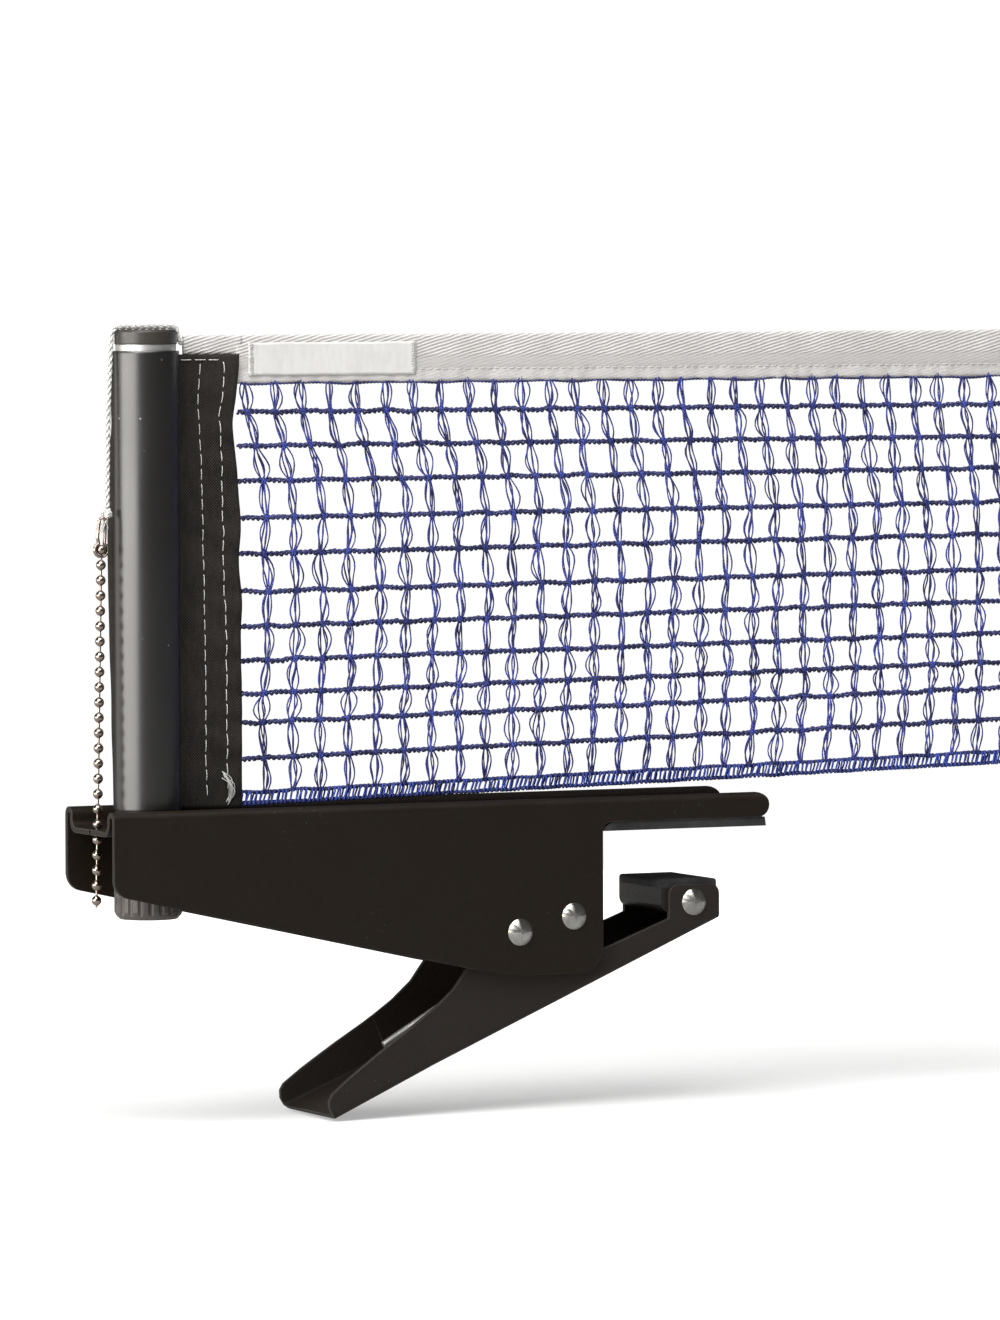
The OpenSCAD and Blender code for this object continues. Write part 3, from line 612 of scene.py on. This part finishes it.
def sleeve_stitching(material):
    """Running stitches across the top of the panel and down it in two seams, on both faces."""
    across = [(-132.2, 145), (-125.4, 145), (-117.9, 144.95)]
    inner = [(-125.4, 144.3), (-126.1, 132), (-125.6, 122), (-125.1, 111), (-124.8, 95), (-124.5, 79),
             (-124.3, 68), (-124, 42), (-124.1, 26), (-123.6, 10.7)]
    outer = [(-118.1, 144.9), (-117.7, 141), (-118.4, 132), (-119.2, 128), (-118.6, 117), (-118.3, 100),
             (-118.1, 87), (-117.9, 74), (-117.3, 66), (-117.2, 42), (-117.1, 26), (-116.9, 10.5)]
    dashes = []
    for seam in (across, inner, outer):
        dashes += stitch_both_faces(front_of_sleeve(seam), 3.9, STITCH_PITCH, STITCH_LIFT)
    return strands("sleeve_stitching", dashes, 0.14, 6, material)


def loose_threads(material):
    """The frayed ends of the thread where the outer seam was sewn back over itself."""
    ends = []
    for k in range(9):
        top = Vector((-118.6 + shuffle.uniform(-0.5, 0.6), -1.5, 20.8 - shuffle.uniform(0, 2.5)))
        low = Vector((-116.9 + shuffle.uniform(-0.8, 0.8), -1.5, 10 + shuffle.uniform(0, 3)))
        out = shuffle.uniform(0.4, 2.6)
        middle = (top + low) / 2 + Vector((out, -shuffle.uniform(0.3, 1.6), shuffle.uniform(-1.5, 1.5)))
        ends.append(smooth_path([top, (top + middle) / 2 + Vector((out * 0.3, -0.2, 0)), middle,
                                 (low + middle) / 2 + Vector((out * 0.25, 0.2, 0)), low], 0.6))
    return strands("loose_threads", ends, 0.13, 5, material)


def both_layers(near):
    """A near layer's section, in Y and Z, with the far layer that mirrors it."""
    return np.array(near + [(-y, z) for y, z in near[::-1]])


def tape_cloth(material):
    """The folded tape: turned hem, front, top fold, back and turned hem."""
    near = [(-0.12, 141.2), (-0.12, 140.2), (-0.12, 139.2), (-0.16, 138.6), (-0.3, 138.28), (-0.45, 138.6),
            (-0.5, 139.2), (-0.5, 140), (-0.5, 140.8), (-0.47, 141.4), (-0.38, 141.75), (-0.44, 142.2),
            (-0.47, 143), (-0.48, 144), (-0.47, 145), (-0.44, 145.7), (-0.47, 146.2), (-0.5, 147.2),
            (-0.5, 148.4), (-0.5, 149.6), (-0.49, 150.8), (-0.44, 151.6), (-0.3, 152.1), (-0.1, 152.29)]
    section = both_layers(near)
    along = np.arange(SLEEVE_X - 1.7, END_X + 0.4, 1.3)
    rows = []
    rise = 0.13 * waves(along, 21, 60, 20)
    gather = 0.5 + 0.5 * np.cos(2 * math.pi * (along / 7.1 + 0.4 * waves(along, 5, 60, 25)))
    for i, x in enumerate(along):
        y, z = section[:, 0].copy(), section[:, 1].copy()
        hem = np.clip((142.2 - z) / 1.5, 0, 1)
        y *= 1 - 0.55 * hem * gather[i]
        y += 0.1 * math.sin(x / 17.0) * (z - 138) / 14.5
        rows.append(points_at(x, y, z + rise[i] * 0.6 + 0.18 * hem * gather[i]))
    return cloth("tape_cloth", rows, 0.36, material)


def tape_tab(material):
    """The narrow end of the tape that lies over the sleeve and reaches the post."""
    near = [(-0.3, 146.2), (-0.36, 147.6), (-0.46, 149.2), (-0.5, 150.2), (-0.48, 151.2), (-0.4, 151.8),
            (-0.2, 152.2)]
    section = both_layers(near)
    rows = []
    for i, x in enumerate(np.linspace(TAPE_START + 0.2, SLEEVE_X + 0.4, 18)):
        y = section[:, 0] * (1 + 0.15 * math.sin(i * 0.9))
        rows.append(points_at(x, y, section[:, 1] + 0.08 * math.sin(i * 0.7)))
    return cloth("tape_tab", rows, 0.36, material)


def label_cloth(material):
    """A bare sewn label, a little cockled between its two seams."""
    along = np.linspace(-109.35, -53.9, 64)
    upward = np.linspace(140.15, 150.1, 14)
    rows = []
    for i, x in enumerate(along):
        between = math.sin(math.pi * i / (len(along) - 1))
        y = -0.88 - 0.05 * between * (1 + waves(x, 31, 30, 12))
        z = upward + 0.14 * waves(x, 41, 40, 14) * np.linspace(-0.6, 1, len(upward))
        rows.append(points_at(x, y, z))
    return cloth("label_cloth", rows, 0.24, material)


def label_stitching(material):
    """Dense, ragged zigzag stitches down both ends of the label."""
    dashes = []
    for x in (-108.45, -54.85):
        for z in np.arange(140.4, 150.0, 0.52):
            half = shuffle.uniform(0.42, 0.8)
            tilt = shuffle.uniform(-0.35, 0.35)
            start = np.array((x - half, -1.02, z - tilt))
            stop = np.array((x + half, -1.02, z + tilt))
            points = np.linspace(start, stop, 6)
            points[:, 1] -= 0.17 * np.sin(np.linspace(0, math.pi, 6)) ** 0.5
            dashes.append(points)
    return strands("label_stitching", dashes, 0.13, 5, material)


def hem_stitching(material):
    """Small stitches along the tape's hem."""
    seam = [(x, -0.66, 141.75 + 0.05 * math.sin(x / 5)) for x in np.arange(SLEEVE_X + 1.5, END_X - 1, 6)]
    return strands("hem_stitching", stitch_both_faces(seam, 1.7, 2.5, 0.1, 0.1), 0.13, 5, material)


# ---------- net ----------

# A column's strands: how far each lies to one side, and in front of or behind the rows
STRAND_PLACES = ((-1, -0.62), (-0.5, 0.55), (0.05, -0.8), (0.5, 0.7), (1, -0.5))
COLUMNS = 29


def row_height(row, x):
    """The rows sink a little less towards the far end."""
    share = (x + 110.45) / 258.8
    return ROWS_NEAR[row] + (ROWS_FAR[row] - ROWS_NEAR[row]) * share


def band_low(x):
    """The band's lower edge, which rises towards the far end."""
    return 10.05 + 5.55 * (x - SLEEVE_X) / (END_X - SLEEVE_X)


def column_places():
    """Where each column of knots meets the top row."""
    return np.interp(np.arange(COLUMNS), (0, 6, 17, 18, 28), (-109.7, -54.1, 46.5, 55.4, 144.6))


def column_drift(x, row):
    """How far a column has wandered by a row, as the net is pulled towards its far end."""
    near = (0, 2.7, 5.1, 6.6, 5.7, 7.0, 6.5, 6.0, 5.5, 4.9, 5.4, 5.2)
    far = (0, 1.2, 2.1, 4.0, 4.2, 4.9, 4.8, 5.1, 5.9, 5.6, 5.1, 4.2)
    share = (x + 110) / 255
    return near[row] + (far[row] - near[row]) * share


def net_rows(material):
    """Twisted cords that run the length of the net, one for each row of knots."""
    found = []
    for row in range(len(ROWS_NEAR)):
        along = np.arange(SLEEVE_X - 1, END_X + 3, 0.42)
        rise = 0.2 * waves(along, 70 + row, 26, 7) + 0.09 * waves(along, 170 + row, 4, 1.6)
        path = points_at(along, 0.16 * waves(along, 50 + row, 19, 7), row_height(row, along) + rise)
        found += plies(path, 2, 0.5, 3.3, row * 0.9)
    return strands("net_rows", found, 0.44, 5, material, 0.2, 1.65)


def knots_of(row, column, x):
    """Where a column crosses a row, with each knot a little out of line."""
    place = np.random.default_rng(1000 + row * 40 + column)
    at = x + column_drift(x, row) + place.uniform(-0.35, 0.35)
    return at, place


def net_columns(material):
    """Five slack strands for each column, gathered at every row and bowed out between them."""
    found = []
    for column, x in enumerate(column_places()):
        stations = [(x - 0.6, TAPE_LOW + 1.2)]
        for row in range(len(ROWS_NEAR)):
            at, _ = knots_of(row, column, x)
            stations.append((at, row_height(row, at)))
        at, _ = knots_of(len(ROWS_NEAR), column, x)
        stations.append((at, band_low(at) + 3.6))
        cells = np.random.default_rng(500 + column)
        sway = cells.uniform(-0.9, 0.9, 13)
        slack = cells.choice((0.7, 1.0, 1.25, 1.6), 13)
        for strand, (side, depth) in enumerate(STRAND_PLACES):
            source = np.random.default_rng(column * 10 + strand)
            points = []
            for k, ((x0, z0), (x1, z1)) in enumerate(zip(stations[:-1], stations[1:])):
                bow = side * slack[k] * source.uniform(0.75, 1.5) + sway[k]
                shift = source.uniform(-0.45, 0.45)
                skew = source.uniform(0.8, 1.25)
                for t in np.linspace(0, 1, 7, endpoint=False):
                    belly = math.sin(math.pi * t ** skew)
                    x_at = x0 + (x1 - x0) * t + bow * belly + side * 0.35 + shift * math.sin(2 * math.pi * t)
                    y_at = depth * (1 - 0.35 * belly) * (1 if k else 0.3 + 0.7 * t)
                    points.append((x_at, y_at, z0 + (z1 - z0) * t))
            points.append((stations[-1][0] + side * 0.35, depth, stations[-1][1]))
            found.append(np.array(points))
    return strands("net_columns", found, 0.25, 5, material, 0.16, 2.1)


def net_knots(material):
    """Loops of yarn that hold each column to each row."""
    found = []
    for column, x in enumerate(column_places()):
        for row in range(len(ROWS_NEAR)):
            at, place = knots_of(row, column, x)
            z = row_height(row, at)
            for k in (-0.42, 0.05, 0.48):
                lean = place.uniform(-0.6, 0.6)
                turn = np.linspace(0, 2 * math.pi, 9)
                reach = place.uniform(0.78, 0.98)
                found.append(points_at(at + k + lean * np.sin(turn) * 0.8, reach * np.cos(turn),
                                       z + reach * np.sin(turn)))
    return strands("net_knots", found, 0.2, 5, material)


def net_edge(material):
    """The laddered band: two twisted cords with slanting threads between them, front and back."""
    along = np.arange(SLEEVE_X - 1, END_X + 3, 0.45)
    found = []
    for lift, seed in ((0.55, 90), (3.95, 91)):
        path = points_at(along, 0.1 * waves(along, seed, 20, 8),
                         band_low(along) + lift + 0.15 * waves(along, seed + 5, 25, 9))
        found += plies(path, 2, 0.36, 2.8, lift)
    return strands("net_edge", found, 0.36, 5, material, 0.15, 1.4)


def edge_threads(material):
    """The band's slanting threads, which all lean one way."""
    found = []
    for face in (-1, 1):
        for x in np.arange(SLEEVE_X - 0.8 + 0.35 * face, END_X + 1.5, 1.5):
            x += shuffle.uniform(-0.25, 0.25)
            lean = shuffle.uniform(0.5, 1.7)
            bow = shuffle.uniform(-0.3, 0.3)
            low = band_low(x)
            found.append(np.array([
                (x, 0.2 * face, low + 0.1),
                (x + 0.15 * lean, 0.66 * face, low + 0.4),
                (x + 0.35 * lean + bow, 0.5 * face, low + 1.5),
                (x + 0.7 * lean + bow, 0.5 * face, low + 2.9),
                (x + 0.9 * lean, 0.66 * face, low + 3.9),
                (x + lean, 0.2 * face, low + 4.35)]))
    return strands("edge_threads", found, 0.31, 6, material)


def top_rope(material):
    """The cord that the tape's hem runs along, seen in places under it."""
    along = np.arange(SLEEVE_X, END_X + 1, 0.6)
    path = points_at(along, 0, TAPE_LOW - 0.28 + 0.2 * waves(along, 61, 34, 11))
    return strands("top_rope", plies(path, 2, 0.24, 2.4), 0.3, 5, material)


def end_cloth(material):
    """The black end piece: a folded panel with the net between its two layers."""
    panel = np.linspace(0.35, 20.9, 18)
    section = np.array([(x, -FOLD) for x in panel] + turned_fold(20.95) + [(x, FOLD) for x in panel[::-1]])
    rows = []
    for z in np.arange(15.8, NET_TOP - 0.1, 1.6):
        x, y = section[:, 0], section[:, 1]
        share = np.clip(1 - x / 22, 0, 1)
        pull = np.exp(-((z - np.array(ROWS_FAR)) / 2.4) ** 2).sum()
        y = y + np.sign(y) * (0.16 * (0.6 - pull) * share + 0.08 * waves(z + x, 13, 24, 9))
        rows.append(points_at(END_X + x, y, z))
    return cloth("end_cloth", rows, 0.45, material)


def end_stitching(material):
    seams = []
    for x in (END_X + 4, END_X + 17.5):
        seams.append([(x + 0.25 * math.sin(z / 9), -1.26, z) for z in np.arange(18, 150, 6)])
    seams.append([(x, -1.26, 148.8) for x in (END_X + 4, END_X + 10, END_X + 17.5)])
    dashes = []
    for seam in seams:
        dashes += stitch_both_faces(seam, 3.6, STITCH_PITCH, STITCH_LIFT)
    return strands("end_stitching", dashes, 0.22, 6, material)


def end_cord(material):
    """A twisted loop of cord that carries the end piece on."""
    turn = np.linspace(0, 2 * math.pi, 61)
    centre = END_X + END_W + 4
    ring = points_at(centre - 3.2 * np.cos(turn), 0, NET_TOP - 5 + 3.2 * np.sin(turn))
    return strands("end_cord", plies(ring, 3, 0.38, run_length(ring)[-1] / 5), 0.4, 8, material)


# ---------- cord, knot, clasp, chain and spring ----------

def cord_path():
    """The cord's way from the tape, over the cap and down to its knot."""
    over = [(10.45, -2.4), (10.05, -1.1), (9.8, 0.2), (8.3, 0.9), (5.5, 0.9), (2.5, 0.9), (-2.5, 0.9),
            (-6.5, 0.9), (-8.7, 0.85), (-10.1, 0.3), (-10.9, -1), (-11.3, -3.2), (-11.6, -8.2)]
    start = [(TAPE_START - 0.1, CAP_TOP - 3.9), (TAPE_START - 0.6, CAP_TOP - 3.85),
             (TAPE_START - 1.1, CAP_TOP - 3.3)]
    foot_z = KNOT_Z + 2.2
    top_x, top_z = POST_X + over[-1][0], CAP_TOP + over[-1][1]
    down = [(CORD_FOOT + (top_x - CORD_FOOT) * (1 - t) ** 2, top_z + (foot_z - top_z) * t)
            for t in (0.2, 0.4, 0.6, 0.8, 1)]
    route = start + [(POST_X + x, CAP_TOP + z) for x, z in over] + down
    return np.array([(x, 0, z) for x, z in route])


def knot_cord(material):
    """A small overhand knot with its short frayed tail."""
    turn = np.linspace(0, 2 * math.pi, 49)
    knot = points_at(CORD_FOOT + 0.62 * (np.sin(turn) + 1.25 * np.sin(2 * turn)),
                     0.62 * (np.cos(turn) - 1.25 * np.cos(2 * turn)) * 0.8,
                     KNOT_Z + 0.35 - 0.85 * np.sin(3 * turn))
    found = plies(knot, 3, 0.36, run_length(knot)[-1] / 5)
    return strands("knot_cord", found, 0.38, 6, material)


def knot_tail(material):
    """The loop of thin cord through the clasp, and the fibres that have come loose from it."""
    top = np.array((CORD_FOOT - 0.2, -0.3, KNOT_Z - 1.2))
    found = []
    for dx, dy in ((-0.5, -0.75), (0.55, 0.75)):
        found.append(smooth_path([top + (0, dy, 0), top + (dx - 0.5, dy, -1.6), top + (dx - 1.1, dy, -3.4),
                                  top + (-1.1, 0, -4.3)], 0.5))
    for k in range(10):
        lean = shuffle.uniform(-3.6, 0.4)
        fall = shuffle.uniform(2.2, 6.5)
        found.append(smooth_path([top + (0, shuffle.uniform(-0.6, 0.6), 0),
                                  top + (lean * 0.35, shuffle.uniform(-0.8, 0.8), -fall * 0.45),
                                  top + (lean, shuffle.uniform(-0.8, 0.8), -fall)], 0.6))
    return strands("knot_tail", found, 0.11, 5, material)


def lean_x(z):
    return CHAIN_X + 0.02 * (z - 3.55)


def clasp_wire(material):
    """A bent wire clasp: a round eye about the first bead and a narrow neck up to the cord."""
    bead = np.array((lean_x(CHAIN_TOP), 0, CHAIN_TOP))
    found = []
    for y in (-0.42, 0.42):
        around = np.radians(np.arange(-246, 67, 18))
        eye = [bead + (EYE_R * math.cos(a), y, EYE_R * math.sin(a)) for a in around]
        neck_top = np.array((lean_x(CHAIN_TOP) + 0.45, y, KNOT_Z - 1.7))
        path = [neck_top + (-0.95, 0, 0), bead + (-1.15, y, 4.2), *eye, bead + (1.2, y, 4.2),
                neck_top + (0.85, 0, 0), neck_top + (0.1, 0, 0.7), neck_top + (-0.8, 0, 0.25)]
        found.append(smooth_path(path, 0.35))
    return strands("clasp_wire", found, 0.4, 8, material)


def one_bead(material):
    """A hollow rolled bead: a ball with a turned rim round the hole at each end."""
    bpy.ops.object.select_all(action="DESELECT")
    bpy.ops.mesh.primitive_uv_sphere_add(segments=24, ring_count=16, radius=BEAD_R * MM)
    bead = bpy.context.object
    bead.name = "bead"
    bpy.ops.object.mode_set(mode="EDIT")
    for end in (-1, 1):
        bpy.ops.mesh.primitive_torus_add(
            location=(0, 0, end * 1.42 * MM), major_segments=16, minor_segments=6,
            major_radius=0.5 * MM, minor_radius=0.11 * MM)
    bpy.ops.object.mode_set(mode="OBJECT")
    bead.data.materials.append(material)
    bead.data.shade_smooth()
    return bead


def ball_chain(material):
    """Copies of one bead up the chain, with a short wire between each two."""
    first = one_bead(material)
    copies = []
    for k in range(BEADS):
        z = CHAIN_TOP - k * BEAD_PITCH
        copy = first.copy()
        copy.data = first.data.copy()
        bpy.context.scene.collection.objects.link(copy)
        nod, roll = shuffle.uniform(-0.1, 0.1), shuffle.uniform(-0.1, 0.1)
        tilt = Matrix.Rotation(nod, 4, "Y") @ Matrix.Rotation(roll, 4, "X")
        copy.data.transform(Matrix.Translation(Vector((lean_x(z), 0, z)) * MM) @ tilt)
        copies.append(copy)
    bpy.data.objects.remove(first)
    wires = []
    for k in range(BEADS):
        z = CHAIN_TOP - k * BEAD_PITCH
        low = z - BEAD_PITCH + 1.3 if k < BEADS - 1 else z - 2.1
        wires.append(smooth_path([(lean_x(z), 0, z - 1.3), (lean_x(low), 0, low)], 0.5))
    chain = strands("ball_chain", wires, 0.36, 8, material)
    bpy.ops.object.select_all(action="DESELECT")
    for copy in copies:
        copy.select_set(True)
    chain.select_set(True)
    bpy.context.view_layer.objects.active = chain
    bpy.ops.object.join()
    return chain


def spring_coil(material):
    """The wound torsion spring with its two straight legs."""
    wire, radius, pitch = 2.4, 6.8, 3.05
    y0 = -15.1 + wire / 2 + 0.2
    leg_a, leg_b = np.array((-71.3, -63.2)), np.array((-62, 2.75 - wire / 2 - 0.1))
    centre = np.array(PIVOT, float)

    def leave(end, sign):
        d = end - centre
        return math.degrees(math.atan2(d[1], d[0])) + sign * math.degrees(math.acos(radius / math.hypot(*d)))

    start = leave(leg_a, 1)
    stop = leave(leg_b, -1) + 360 * 6 + (-360 if start < 0 else 0)
    angles = np.radians(np.arange(start, stop, 9))
    coil = points_at(centre[0] + radius * np.cos(angles), y0 + pitch * (np.degrees(angles) - start) / 360,
                     centre[1] + radius * np.sin(angles))
    y1 = y0 + pitch * (stop - start) / 360
    first = np.linspace((leg_a[0], y0, leg_a[1]), coil[0], 28)[:-1]
    last = np.linspace(coil[-1], (leg_b[0], y1, leg_b[1]), 28)[1:]
    path = np.vstack([first, coil, last])
    spring = strands("spring_coil", [path], wire / 2, 14, material)
    apply_modifier(spring, "BEVEL", width=0.5 * MM, segments=3, limit_method="ANGLE",
                   angle_limit=math.radians(60))
    return spring


# ---------- putting it together ----------

place_camera()

coat = powder_coat("bracket_powder_coat", (0.0092, 0.0064, 0.0042), 0.4)
lever_coat = powder_coat("lever_powder_coat", (0.016, 0.0124, 0.0102), 0.44)
post_lacquer = lacquer("post_lacquer", (0.0035, 0.0028, 0.0024), 0.34)
pivot_nickel, stop_nickel, jaw_nickel = (
    plated(name + "_rivet_nickel", (0.56, 0.545, 0.51), 0.19, spun=centre)
    for name, centre in (("pivot", PIVOT), ("stop", STOP), ("jaw", PAD_PIN)))
chain_nickel = plated("chain_nickel", (0.42, 0.35, 0.3), 0.12, 0.1)
ring_nickel = plated("ring_nickel", (0.8, 0.795, 0.78), 0.4)
steel = plated("plain_steel", (0.45, 0.45, 0.46), 0.34, 0.8)
spring_steel = plated("spring_steel", (0.3, 0.295, 0.285), 0.5, 0.8)
tube_steel = plated("tube_steel", (0.12, 0.12, 0.13), 0.4, 0.6)
nylon = moulded("nylon", (0.6, 0.57, 0.48), 0.45, 900, 0.000015, sockets={"Subsurface Weight": 0.15})
black_plastic = moulded("black_plastic", (0.012, 0.0105, 0.0095), 0.42, sockets={"Specular IOR Level": 0.35})
cap_plastic = moulded("cap_plastic", (0.032, 0.028, 0.024), 0.36)
knob_plastic = moulded("knob_plastic", (0.052, 0.044, 0.039), 0.42, 1100, 0.00002)
jaw_rubber = rubber("jaw_rubber", (0.016, 0.016, 0.017))
# The sleeve's and the label's dark and light colours are painted shade between the threads and painted light
# on their tops
sleeve_black = woven("sleeve_black", (0.001, 0.0008, 0.0007), (0.036, 0.03, 0.025), 0.0009, 0.0003, 0.02)
label_white = woven("label_white", (0.5, 0.49, 0.475), (0.74, 0.725, 0.705), 0.0005, 0.00005, 0.1)
# The tape's shadow colour is painted shade in the hollows of its ribs
tape_grey = ribbed_tape("tape_grey", (0.75, 0.73, 0.71), (0.44, 0.425, 0.41), (0.49, 0.475, 0.46),
                        141.7 * MM, 145.6 * MM)
# The yarns' dark and light colours are painted shade between the fibres and painted light on their raised
# tops
white_thread = yarn("white_thread", (0.42, 0.41, 0.39), (0.8, 0.79, 0.77), 0.0008)
white_cord = yarn("white_cord", (0.4, 0.39, 0.37), (0.82, 0.81, 0.79), 0.0013)
row_blue = yarn("row_blue", (0.01, 0.01, 0.035), (0.075, 0.085, 0.26), 0.0012, 0.08, 0.2, 0.7)
strand_blue = yarn("strand_blue", (0.009, 0.01, 0.06), (0.08, 0.1, 0.48), 0.001, 0.08, 0.25, 0.85)
knot_blue = yarn("knot_blue", (0.008, 0.014, 0.11), (0.055, 0.11, 0.55), 0.001, 0.05, 0.3, 0.7)

for material, names in (
    (coat, "bracket"), (lever_coat, "lever"), (post_lacquer, "post_shell"), (tube_steel, "post_core"),
    (pivot_nickel, "pivot_rivet"), (stop_nickel, "stop_rivet"), (jaw_nickel, "jaw_rivet"),
    (steel, "stop_spacer height_screw screw_clip"), (spring_steel, "torsion_spring"),
    (nylon, "spring_bush pivot_washers"), (black_plastic, "guide_bush jaw_pad_carrier post_foot"),
    (jaw_rubber, "upper_jaw_pad jaw_pad_face"), (knob_plastic, "height_knob"), (cap_plastic, "post_cap"),
    (ring_nickel, "cap_ring"), (chain_nickel, "bead_chain chain_clasp"),
    (white_cord, "tension_cord end_loop cord_knot"), (sleeve_black, "net_sleeve end_sleeve"),
    (tape_grey, "net_tape"), (label_white, "net_label"), (strand_blue, "net_mesh"), (knot_blue, "net_band"),
):
    for name in names.split():
        dress(name, material)

# Cords first: the tension cord runs from the post, which carries its top, down to the bracket below
route = cord_path()
cord_line = smooth_path(route, 0.3)
tension_strands = strands("tension_strands", plies(cord_line, 3, 0.48, CORD_LAY), CORD_PLY_R, 8, white_cord)
knot = knot_cord(white_cord)
tail = knot_tail(white_thread)
loop = end_cord(white_cord)

sleeve = sleeve_cloth(sleeve_black)
sleeve_seams = sleeve_stitching(white_thread)
frayed = loose_threads(white_thread)
tape = tape_cloth(tape_grey)
tab = tape_tab(tape_grey)
hem = hem_stitching(white_thread)
label = label_cloth(label_white)
label_seams = label_stitching(white_thread)
rows = net_rows(row_blue)
columns = net_columns(strand_blue)
knots = net_knots(knot_blue)
edge = net_edge(row_blue)
ladder = edge_threads(knot_blue)
rope = top_rope(row_blue)
end_panel = end_cloth(sleeve_black)
end_seams = end_stitching(white_thread)
clasp = clasp_wire(chain_nickel)
chain = ball_chain(chain_nickel)
spring = spring_coil(spring_steel)

for body, slot, pieces in (
    ("bracket", "white_cord", ((knot, "cord_knot"), (tail, None))),
    ("bracket", "chain_nickel", ((clasp, "chain_clasp"), (chain, "bead_chain"))),
    ("post", "white_cord", ((loop, "end_loop"),)),
    ("post", "black_fabric", ((sleeve, "net_sleeve"),)),
    ("post", "white_cord", ((sleeve_seams, None), (frayed, None))),
    ("post", "white_tape", ((tape, "net_tape"), (tab, None), (hem, None))),
    ("post", "label_fabric", ((label, "net_label"), (label_seams, None))),
    ("post", "blue_yarn", ((rows, "net_mesh"), (columns, None), (knots, None), (edge, "net_band"),
                           (ladder, None), (rope, None))),
    ("post", "black_fabric", ((end_panel, "end_sleeve"),)),
    ("post", "white_cord", ((end_seams, None),)),
):
    for piece, replaced in pieces:
        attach(piece, body)
        if replaced:
            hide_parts(replaced)

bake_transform(tension_strands)
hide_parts("tension_cord")
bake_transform(spring)
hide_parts("torsion_spring")


# ---------- floor, surroundings and lamps ----------

def pale_floor(name, colour, glow, far_glow):
    """A plain pale floor that the camera sees near white and mirrors see dimmer, with its shadows kept."""
    material, tree, shader, place = finish(name, 0.9)
    grain = noise(tree, place, 6, 3)
    reach = add(tree, "VectorMath", {0: place}, operation="LENGTH").outputs["Value"]
    strength = spread(tree, reach, 0.2, 0.75, glow, far_glow)
    shade = mixed(tree, grain, colour, scaled(colour, 0.985))
    rays = add(tree, "LightPath").outputs
    shade = mixed(tree, times(tree, rays["Is Glossy Ray"], 0.5), shade, (0.1, 0.1, 0.1))
    tree.links.new(shade, shader.inputs["Base Color"])
    mirrored = times(tree, rays["Is Glossy Ray"], 0.2)
    seen = math_node(tree, "MAXIMUM", rays["Is Camera Ray"], mirrored)
    seen = math_node(tree, "MAXIMUM", seen, rays["Is Transmission Ray"])
    shader.inputs["Emission Color"].default_value = (1, 1, 0.995, 1)
    tree.links.new(times(tree, seen, strength), shader.inputs["Emission Strength"])
    return material


FLOOR_GAP = 0.0008
FLOOR_R = 1.0

bpy.ops.object.select_all(action="DESELECT")
bpy.ops.mesh.primitive_circle_add(vertices=96, radius=FLOOR_R, fill_type="NGON")
floor = bpy.context.object
floor.name = "floor"
floor.data.transform(Matrix.Translation(Vector((0, 0, cad_box[0].z - FLOOR_GAP))))
floor.data.materials.append(pale_floor("floor_white", (0.56, 0.56, 0.555), 0.36, 0.9))

world = bpy.data.worlds.new("studio")
bpy.context.scene.world = world
world.use_nodes = True
sky = world.node_tree
rays = add(sky, "LightPath").outputs
background = sky.nodes["Background"]
# Soft light all round, white to the camera and dimmer in mirrors
lit = math_node(sky, "ADD", times(sky, rays["Is Camera Ray"], 0.67), 0.35)
lit = math_node(sky, "SUBTRACT", lit, times(sky, rays["Is Glossy Ray"], 0.25))
sky.links.new(lit, background.inputs["Strength"])
background.inputs["Color"].default_value = (1, 1, 1, 1)

soft_box("window_left", -85, 3, 1.5, (1.6, 0.5), 18, (1, 0.97, 0.93))
soft_box("window_back_left", -131, 4, 1.5, (1.3, 0.5), 2.5, (1, 0.93, 0.85))
soft_box("window_back_right", 112, 6, 1.7, (0.4, 0.8), 1.3, (0.75, 0.82, 1))
soft_box("overhead", -38, 66, 1.6, (1.4, 1.0), 30)
soft_box("front_fill", -58, 31, 2.0, (0.9, 0.9), 22)

scene = bpy.context.scene
scene.view_settings.view_transform = "Standard"
